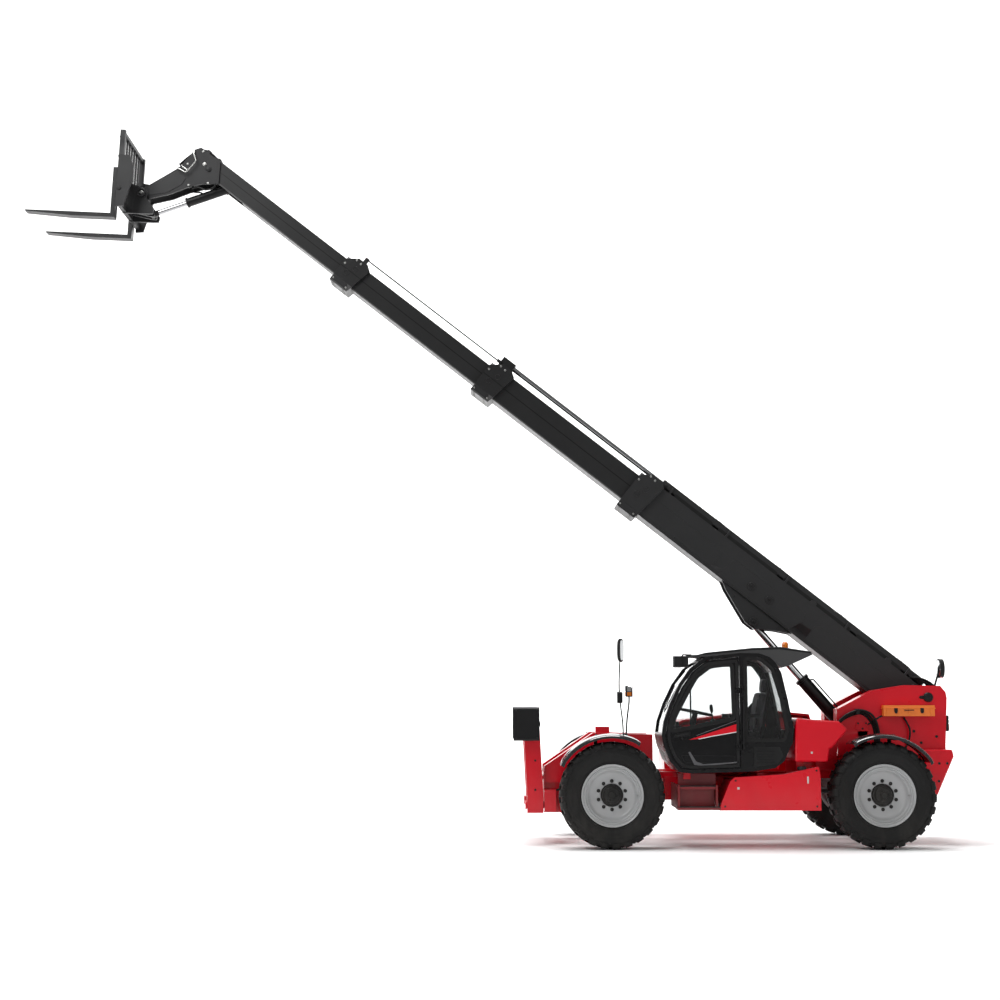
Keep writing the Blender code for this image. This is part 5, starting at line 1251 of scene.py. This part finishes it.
def cab_outside():
    """Trim, seals, handles, marks, painted sheen of the door's pressed grooves, and wiper on the door and the
    cab's shell.
    """
    door, seals, wedge, white, groove_sheen = Bench(), Bench(), Bench(), Bench(), Bench()
    y = CAB_LEFT
    closed_band(seals, rounded_outline(DOOR_WINDOW), -0.012, 0.01, y - 0.004, y + 0.014)
    closed_band(door, rounded_outline(inset(DOOR_EDGE, 0.002), 0.04), 0.0, 0.03, y - 0.006, y + 0.001)
    # pressed panel in the lower door, its handle, lock and the bar across the window
    closed_band(door, rounded_outline([(0.8, 0.95), (1.35, 0.93), (1.36, 1.02), (0.76, 1.03)], 0.02), 0,
                0.006, y - 0.003, y + 0.001)
    door.plate([(0.868, 1.35), (0.868, 1.745), (0.885, 1.77), (0.885, 1.352)], y - 0.002, y + 0.012, 0.002)
    door.pipe(rounded_path([(0.7, y, 1.235), (0.7, y - 0.034, 1.235), (0.845, y - 0.034, 1.262),
                            (0.845, y, 1.262)], 0.014), 0.009)
    door.plate([(0.678, 1.215), (0.69, 1.255), (0.872, 1.288), (0.868, 1.24)], y - 0.007, y + 0.001, 0.002)
    door.cap(0.014, 0.008, 0.01, 0.011, (0.775, y - 0.006, 1.215), (0, -1, 0), 16)
    wedge.plate([(0.85, 1.197), (1.405, 1.378), (1.405, 1.288), (1.1, 1.236), (0.95, 1.205)], y - 0.0025,
                y + 0.001)
    white.plate([(0.95, 1.206), (1.1, 1.238), (1.402, 1.29), (1.402, 1.281), (1.1, 1.229), (0.97, 1.202)],
                y - 0.0034, y - 0.002)
    # grey bands along the door's pressed grooves paint their sheen and highlight
    groove_sheen.plate([(0.842, 1.06), (0.862, 1.068), (0.93, 0.96), (1.01, 0.93), (1.4, 0.958), (1.4, 0.946),
                  (1.005, 0.908), (0.905, 0.925)], y - 0.006, y - 0.0005, 0.001)
    groove_sheen.plate([(0.93, 1.245), (1.385, 1.412), (1.385, 1.404), (0.942, 1.241)], y - 0.003, y - 0.0005)
    for z in (1.12, 1.74):
        for dx in (-0.045, -0.02):
            door.bolt((1.43 + dx, -1.17, z), (0, -1, 0), 0.007)
    door.done("door_trim", "cab_door", trim_black)
    seals.done("door_window_seal", "cab_door", seal_rubber_and_shade)
    wedge.done("door_red_wedge", "cab_door", body_red)
    white.done("door_white_line", "cab_door", stripe_white)
    groove_sheen.done("door_groove_sheen", "cab_door", groove_sheen_grey)
    shell, rubber = Bench(), Bench()
    closed_band(rubber, rounded_outline(QUARTER), -0.01, 0.012, -1.153, -1.132)
    right = [(0.72, 1.32), (1.86, 1.32), (1.8, 1.9), (1.7, 2.04), (1.05, 2.02), (0.85, 1.8)]
    closed_band(rubber, rounded_outline(right), -0.01, 0.012, -0.309, -0.287)
    # a hand rail behind the door, and the latch and stay of the side window
    shell.pipe(rounded_path([(1.455, -1.15, 1.1), (1.455, -1.182, 1.1), (1.462, -1.182, 1.62),
                             (1.462, -1.15, 1.62)], 0.02), 0.011)
    shell.block((1.52, 1.6), (-1.158, -1.14), (1.245, 1.275), 0.004)
    shell.plate([(1.57, 0.9), (1.57, 1.12), (1.86, 1.12), (1.9, 1.02), (1.83, 0.93)], -1.1505, -1.156,
                0.002)
    for i in range(6):
        shell.block((1.6, 1.8), (-1.156, -1.162), (0.935 + 0.03 * i, 0.947 + 0.03 * i), 0.001)
    # wiper on the windscreen
    shell.bar((0.625, -0.62, 1.225), (0.6, -0.62, 1.245), 0.016, 16)
    shell.pipe([(0.594, -0.62, 1.25), (0.64, -0.7, 1.56), (0.748, -0.74, 1.8)], 0.006, 8)
    shell.done("cab_shell_trim", "chassis", trim_black)
    rubber.done("cab_window_seals", "chassis", seal_rubber_and_shade)


def work_lights():
    """The two lamps at the front of the cab roof."""
    housing, lens = Bench(), Bench()
    housing.block((0.7, 0.862), (-1.147, -1.018), (1.998, 2.122), 0.01)
    housing.pipe(rounded_path([(0.79, -1.15, 2.0), (0.79, -1.15, 2.135), (0.9, -1.1, 2.135)], 0.02), 0.008)
    housing.block((0.694, 0.702), (-1.14, -1.026), (2.006, 2.114), 0.003)
    lens.block((0.69, 0.696), (-1.132, -1.034), (2.014, 2.106), 0.003)
    housing.block((0.785, 0.862), (-0.43, -0.32), (2.01, 2.11), 0.01)
    housing.pipe(rounded_path([(0.82, -0.375, 2.1), (0.83, -0.375, 2.128), (0.95, -0.375, 2.134)], 0.02),
                 0.008)
    lens.block((0.78, 0.787), (-0.42, -0.33), (2.018, 2.102), 0.003)
    housing.done("work_light_housings", "chassis", trim_black)
    lens.done("work_light_lenses", "chassis", lamp_glass)


def roof_and_mirrors():
    """Ribs and edge strips of the roof, the beacon, and the faces of the mirrors."""
    trim, glass, black = Bench(), Bench(), Bench()
    # ribs and a dark edge strip on the roof visor
    for y in (-0.95, -0.6, -0.48):
        trim.plate([(1.1, 2.163), (1.562, 2.213), (1.885, 2.226), (2.2, 2.179), (2.2, 2.17),
                    (1.885, 2.217), (1.562, 2.204), (1.1, 2.156)], y - 0.012, y + 0.012, 0.002)
    for y in (CAB_LEFT + 0.009, -0.295):
        black.plate([(0.935, 2.126), (1.057, 2.156), (1.562, 2.205), (1.885, 2.218), (2.225, 2.168),
                     (2.232, 2.15), (1.885, 2.196), (1.562, 2.186), (1.06, 2.135)], y - 0.004, y + 0.004,
                    0.001)
    trim.done("roof_ribs", "chassis", visor_grey)
    # beacon on a flexible foot
    black.turned([(0, 0), (0.048, 0), (0.05, 0.006), (0.05, 0.022), (0.042, 0.03), (0, 0.03)],
                 (2.016, -0.72, 2.196), (0, 0, 1), 32)
    lamp = Bench()
    profile = [(0, 0.088), (0.02, 0.086), (0.032, 0.076), (0.036, 0.06)]
    for i in range(7):
        z = 0.056 - 0.006 * i
        profile += [(0.0375, z), (0.0355, z - 0.003)]
    lamp.turned(profile + [(0.038, 0.008), (0, 0.008)], (2.016, -0.72, 2.208), (0, 0, 1), 36)
    lamp.done("beacon_ribbed_lens", "chassis", beacon_lens, MACHINE, 20, ("beacon",))
    front_mirror()
    glass.turned([(0, 0.02), (0.05, 0.0165), (0.095, 0.006), (0.1, 0), (0, 0)], (3.853, -0.37, 2.0),
                 (-1, 0, 0), 40)
    black.ring((3.86, -0.37, 2.0), (-1, 0, 0), 0.113, 0.012, 0.012, 40)
    glass.done("mirror_faces", "chassis", mirror_glass)
    black.done("mirror_and_roof_trim", "chassis", trim_black)


def rounded_unit(value):
    """A cosine or sine pulled outwards, so that a circle becomes a rounded rectangle."""
    return math.copysign(abs(value) ** 0.62, value)


def front_mirror():
    """The tall mirror on its stalk and the small lamp beside it, at the front of the cab."""
    shell, face, stalk = Bench(), Bench(), Bench()
    turn = Matrix.Translation((0.145, -0.535, 2.205)) @ Matrix.Rotation(math.radians(-114), 4, "Z")
    count = 40
    turns = [2 * math.pi * i / count for i in range(count)]
    outline = [(rounded_unit(math.cos(a)), rounded_unit(math.sin(a))) for a in turns]
    sizes = [(0.02, 0.07, 0.13), (0.014, 0.076, 0.136), (0.0, 0.076, 0.136), (-0.016, 0.062, 0.12),
             (-0.026, 0.036, 0.085)]
    rings = [(depth, [(width * u, height * v) for u, v in outline]) for depth, width, height in sizes]
    points = [tuple(turn @ Vector((u, depth, v))) for depth, ring in rings for u, v in ring]
    last = len(rings) - 1
    faces = [tuple(range(count)), tuple(range(last * count, (last + 1) * count))]
    for a, b in ((k * count, (k + 1) * count) for k in range(last)):
        faces += [(a + i, a + (i + 1) % count, b + (i + 1) % count, b + i) for i in range(count)]
    shell.faces(points, faces)
    flat = [tuple(turn @ Vector((u * 0.78, 0.0215, v * 0.88))) for u, v in rings[0][1]]
    low_edge = [tuple(turn @ Vector((u * 0.78, 0.019, v * 0.88))) for u, v in rings[0][1]]
    sides = [(i, (i + 1) % count, count + (i + 1) % count, count + i) for i in range(count)]
    face.faces(flat + low_edge, [tuple(range(count)), tuple(range(count, 2 * count))] + sides)
    stalk.pipe(smooth_path([(0.175, -0.52, 1.235), (0.165, -0.53, 1.4), (0.135, -0.54, 1.66),
                            (0.13, -0.54, 1.85), (0.142, -0.535, 2.1)]), 0.0085)
    for z in (1.62, 1.665, 1.71):
        stalk.bar((0.105, -0.54, z), (0.165, -0.54, z), 0.02, 16)
    stalk.block((0.105, 0.168), (-0.565, -0.515), (1.605, 1.72), 0.006)
    stalk.pipe(smooth_path([(0.215, -0.42, 1.235), (0.225, -0.42, 1.4), (0.25, -0.42, 1.6),
                            (0.252, -0.42, 1.68)]), 0.01)
    stalk.cap(0.034, 0.016, 0.02, 0.026, (0.195, -0.47, 1.228), (0, 0, 1), 24)
    stalk.block((0.212, 0.292), (-0.462, -0.382), (1.672, 1.8), 0.012)
    lens, amber = Bench(), Bench()
    lens.turned([(0, 0), (0.03, 0), (0.028, 0.008), (0, 0.014)], (0.213, -0.422, 1.768), (-1, 0, 0), 24)
    lens.block((0.227, 0.277), (-0.466, -0.4615), (1.735, 1.79), 0.003)
    amber.turned([(0, 0), (0.024, 0), (0.022, 0.008), (0, 0.012)], (0.213, -0.422, 1.706), (-1, 0, 0), 24)
    amber.block((0.227, 0.277), (-0.466, -0.4615), (1.685, 1.725), 0.003)
    shell.done("front_mirror_shell", "chassis", trim_black, MACHINE, 40, ("mirror_front",))
    face.done("front_mirror_face", "chassis", mirror_glass)
    stalk.done("mirror_and_lamp_stalks", "chassis", trim_black)
    lens.done("front_lamp_lens", "chassis", lamp_glass)
    amber.done("front_lamp_amber", "chassis", beacon_lens)


def cushion(name, lows, highs, fat=0.018, turn=0.0, about=(0, 0), stands_for=()):
    """A stuffed part of the seat: a rounded block that swells on top, turned about (x, z)."""
    work = bmesh.new()
    bmesh.ops.create_cube(work, size=1.0)
    bmesh.ops.subdivide_edges(work, edges=work.edges, cuts=9, use_grid_fill=True)
    size = [b - a for a, b in zip(lows, highs)]
    middle = Vector([(a + b) / 2 for a, b in zip(lows, highs)])
    for v in work.verts:
        p = v.co * 2
        pull = []
        for k, c in enumerate(p):
            a, b = p[(k + 1) % 3], p[(k + 2) % 3]
            if abs(c) > 0.99:
                pull.append(c * math.sqrt(max(1 - 0.42 * a ** 6 - 0.42 * b ** 6 + 0.1 * (a * b) ** 6, 0.3)))
            else:
                pull.append(c * (1 - 0.045 * max(abs(a) > 0.99, abs(b) > 0.99)))
        pull = Vector(pull)
        top = (1 - p.x ** 2) * (1 - p.y ** 2) * fat if p.z > 0.99 else 0.0
        v.co = middle + Vector([pull[k] * size[k] / 2 for k in range(3)]) + Vector((0, 0, top))
    there = Matrix.Translation((about[0], 0, about[1]))
    back = Matrix.Translation((-about[0], 0, -about[1]))
    bmesh.ops.transform(work, matrix=there @ Matrix.Rotation(turn, 4, "Y") @ back, verts=work.verts)
    mesh = bpy.data.meshes.new(name)
    work.to_mesh(mesh)
    work.free()
    made = as_piece(name, mesh, "chassis", seat_cloth, MACHINE, 60, stands_for)


def cab_inside():
    """The seat, its arm rests and bellows, the side console, levers, pedals, dials and belt."""
    cushion("seat_cushion", (1.24, -0.96, 1.175), (1.68, -0.48, 1.285), stands_for=("driver_seat",))
    cushion("seat_back", (1.6, -0.95, 1.28), (1.7, -0.49, 1.72), 0.0, 0.16, (1.65, 1.28))
    cushion("seat_head_rest", (1.715, -0.83, 1.72), (1.785, -0.61, 1.87), 0.0, 0.12, (1.75, 1.72))
    hard, levers, belt = Bench(), Bench(), Bench()
    hard.plate([(1.25, 1.148), (1.26, 1.176), (1.68, 1.18), (1.72, 1.25), (1.8, 1.74), (1.775, 1.75),
                (1.68, 1.3), (1.66, 1.148)], -0.93, -0.51, 0.006)
    hard.block((1.3, 1.58), (-0.9, -0.54), (1.05, 1.15), 0.01)
    for i in range(5):
        hard.block((1.29, 1.59), (-0.91, -0.53), (0.925 + 0.025 * i, 0.94 + 0.025 * i), 0.004)
    hard.block((1.3, 1.58), (-0.9, -0.54), (0.905, 1.06), 0.004)
    for y in (-1.01, -0.43):
        hard.block((1.32, 1.67), (y - 0.03, y + 0.03), (1.435, 1.478), 0.01)
        hard.pipe(rounded_path([(1.63, y, 1.44), (1.66, y, 1.34), (1.66, y * 0.99, 1.25)], 0.03), 0.012)
    hard.done("seat_shell_and_arm_rests", "chassis", trim_black)
    # right-hand console with a joystick, and small levers by the wheel
    console = Bench()
    console.plate([(1.1, 0.93), (1.08, 1.33), (1.14, 1.385), (1.56, 1.405), (1.66, 1.33), (1.66, 0.93)],
                  -0.44, -0.345, 0.01)
    console.turned([(0, 0), (0.03, 0), (0.022, 0.02), (0.009, 0.03), (0.007, 0.1), (0.018, 0.115),
                    (0.022, 0.15), (0.018, 0.19), (0.008, 0.2), (0, 0.2)], (1.22, -0.39, 1.388),
                   (-0.1, 0, 1), 24)
    for x in (1.34, 1.42, 1.5):
        console.turned([(0, 0), (0.005, 0), (0.005, 0.055), (0.011, 0.062), (0.011, 0.082), (0, 0.088)],
                       (x, -0.39, 1.396), (0, 0, 1), 14)
    console.done("cab_side_console", "chassis", trim_black)
    levers.pipe(rounded_path([(0.955, -0.74, 1.44), (0.97, -0.9, 1.475), (0.975, -0.93, 1.49)], 0.02),
                0.006)
    levers.pipe(rounded_path([(0.955, -0.7, 1.44), (0.97, -0.54, 1.475), (0.975, -0.51, 1.49)], 0.02),
                0.006)
    levers.bar((0.972, -0.925, 1.486), (0.98, -0.965, 1.5), 0.012, 14)
    levers.bar((0.972, -0.515, 1.486), (0.98, -0.475, 1.5), 0.012, 14)
    for y in (-0.83, -0.72, -0.58):
        levers.plate([(0.8, 0.965), (0.815, 0.972), (0.875, 0.905), (0.862, 0.898)], y - 0.035, y + 0.035,
                     0.003)
    levers.block((0.735, 0.775), (-0.88, -0.56), (1.262, 1.395), 0.01)
    levers.done("cab_levers_and_pedals", "chassis", trim_black)
    dials = Bench()
    for y in (-0.8, -0.72, -0.64):
        dials.turned([(0, 0), (0.03, 0), (0.03, 0.004), (0, 0.004)], (0.7755, y, 1.33), (1, 0, 0), 24)
    dials.done("blank_dials", "chassis", plate_blank)
    belt.pipe(smooth_path([(1.7, -0.93, 1.66), (1.66, -0.955, 1.45), (1.6, -0.965, 1.3)]), 0.006, 8)
    belt.block((1.59, 1.62), (-0.975, -0.95), (1.235, 1.3), 0.004)
    belt.done("seat_belt_buckle", "chassis", seal_rubber_and_shade)


cab_outside()
work_lights()
roof_and_mirrors()
cab_inside()


# ---------------------------------------------------------------- carriage and forks
def carriage_details():
    """Bolts, pivot rims, fork shaft ends and a blank plate on the carriage."""
    bolts, plates, rods = Bench(), Bench(), Bench()
    front = -0.221
    for side in (-1, 1):
        for y, z in ((0.528, 0.58), (0.528, 0.34), (0.528, -0.2), (0.2, -0.205), (0.1, -0.205)):
            bolts.bolt((front - 0.002, side * y, z), (-1, 0, 0), 0.011)
        plates.ring((0, side * 0.2355, 0), (0, side, 0), 0.052, 0.01, 0.012)
        rods.turned([(0, 0), (0.03, 0), (0.03, 0.01), (0, 0.012)], (-0.1895, side * 0.5595, -0.06),
                    (0, side, 0), 24)
    plates.block((front - 0.004, front), (-0.1, 0.1), (0.105, 0.185))
    bolts.done("carriage_bolts", "carriage", bolt_black, CARRIAGE)
    rods.done("fork_shaft_ends", "carriage", bolt_black, CARRIAGE)
    plates.done("carriage_pin_plates", "carriage", boom_charcoal, CARRIAGE)


carriage_details()


# ---------------------------------------------------------------- stage, light and view
def studio():
    """A pale floor that sweeps up into a wall."""
    material, w, shader = new_material("studio_floor")
    pale = use(w, COLOUR_DRIFT, Color=(0.9, 0.9, 0.9, 1), Amount=0.02, Scale=0.2)["Color"]
    w.join(pale, shader.inputs["Base Color"])
    w.join(w.ramp(w.noise(0.6, 3.0), 0.3, 0.7, 0.62, 0.72), shader.inputs["Roughness"])
    profile, radius = [(-16.0, 0.0)], 6.0
    for i in range(17):
        a = math.pi / 2 * i / 16
        profile.append((14.0 + radius * math.sin(a), radius * (1 - math.cos(a))))
    profile.append((20.0, 26.0))
    points = [(x, y, z) for y, z in profile for x in (-45.0, 45.0)]
    faces = [(2 * i, 2 * i + 1, 2 * i + 3, 2 * i + 2) for i in range(len(profile) - 1)]
    mesh = bpy.data.meshes.new("studio_sweep")
    mesh.from_pydata(points, [], faces)
    mesh.shade_smooth()
    mesh.materials.append(material)
    sweep = bpy.data.objects.new("studio_sweep", mesh)
    bpy.context.scene.collection.objects.link(sweep)


def area_light(name, place, target, size, power):
    """A rectangular lamp, aimed at a point and unseen itself."""
    data = bpy.data.lights.new(name, "AREA")
    data.shape, data.size, data.size_y, data.energy = "RECTANGLE", *size, power
    lamp = bpy.data.objects.new(name, data)
    lamp.location = place
    lamp.rotation_euler = (Vector(target) - Vector(place)).to_track_quat("-Z", "Y").to_euler()
    bpy.context.scene.collection.objects.link(lamp)
    lamp.visible_camera = False


studio()
area_light("key", (-7.0, -9.0, 13.0), (0.0, 0.0, 2.0), (7.0, 7.0), 1000)
area_light("fill", (9.0, -12.0, 6.5), (0.5, 0.0, 2.0), (8.0, 6.0), 260)
area_light("overhead", (0.0, 0.5, 20.0), (0.0, 0.0, 0.0), (10.7, 6.7), 3380)
area_light("backdrop", (0.0, 6.0, 14.0), (0.0, 18.0, 6.0), (44.0, 6.0), 6800)

world = bpy.data.worlds.new("soft_room")
bpy.context.scene.world = world
world.use_nodes = True
world.node_tree.nodes["Background"].inputs["Color"].default_value = (1.0, 1.0, 1.0, 1)
world.node_tree.nodes["Background"].inputs["Strength"].default_value = 0.26

camera_data = bpy.data.cameras.new("view")
camera_data.lens, camera_data.sensor_width = 58.07, 36.0
camera_data.clip_end = 200.0
camera = bpy.data.objects.new("view", camera_data)
camera.location = (0.2557, -19.21, 1.58)
camera.rotation_euler = (math.radians(97.24), 0.0, 0.0)
bpy.context.scene.collection.objects.link(camera)
bpy.context.scene.camera = camera
bpy.context.scene.view_settings.view_transform = "Standard"
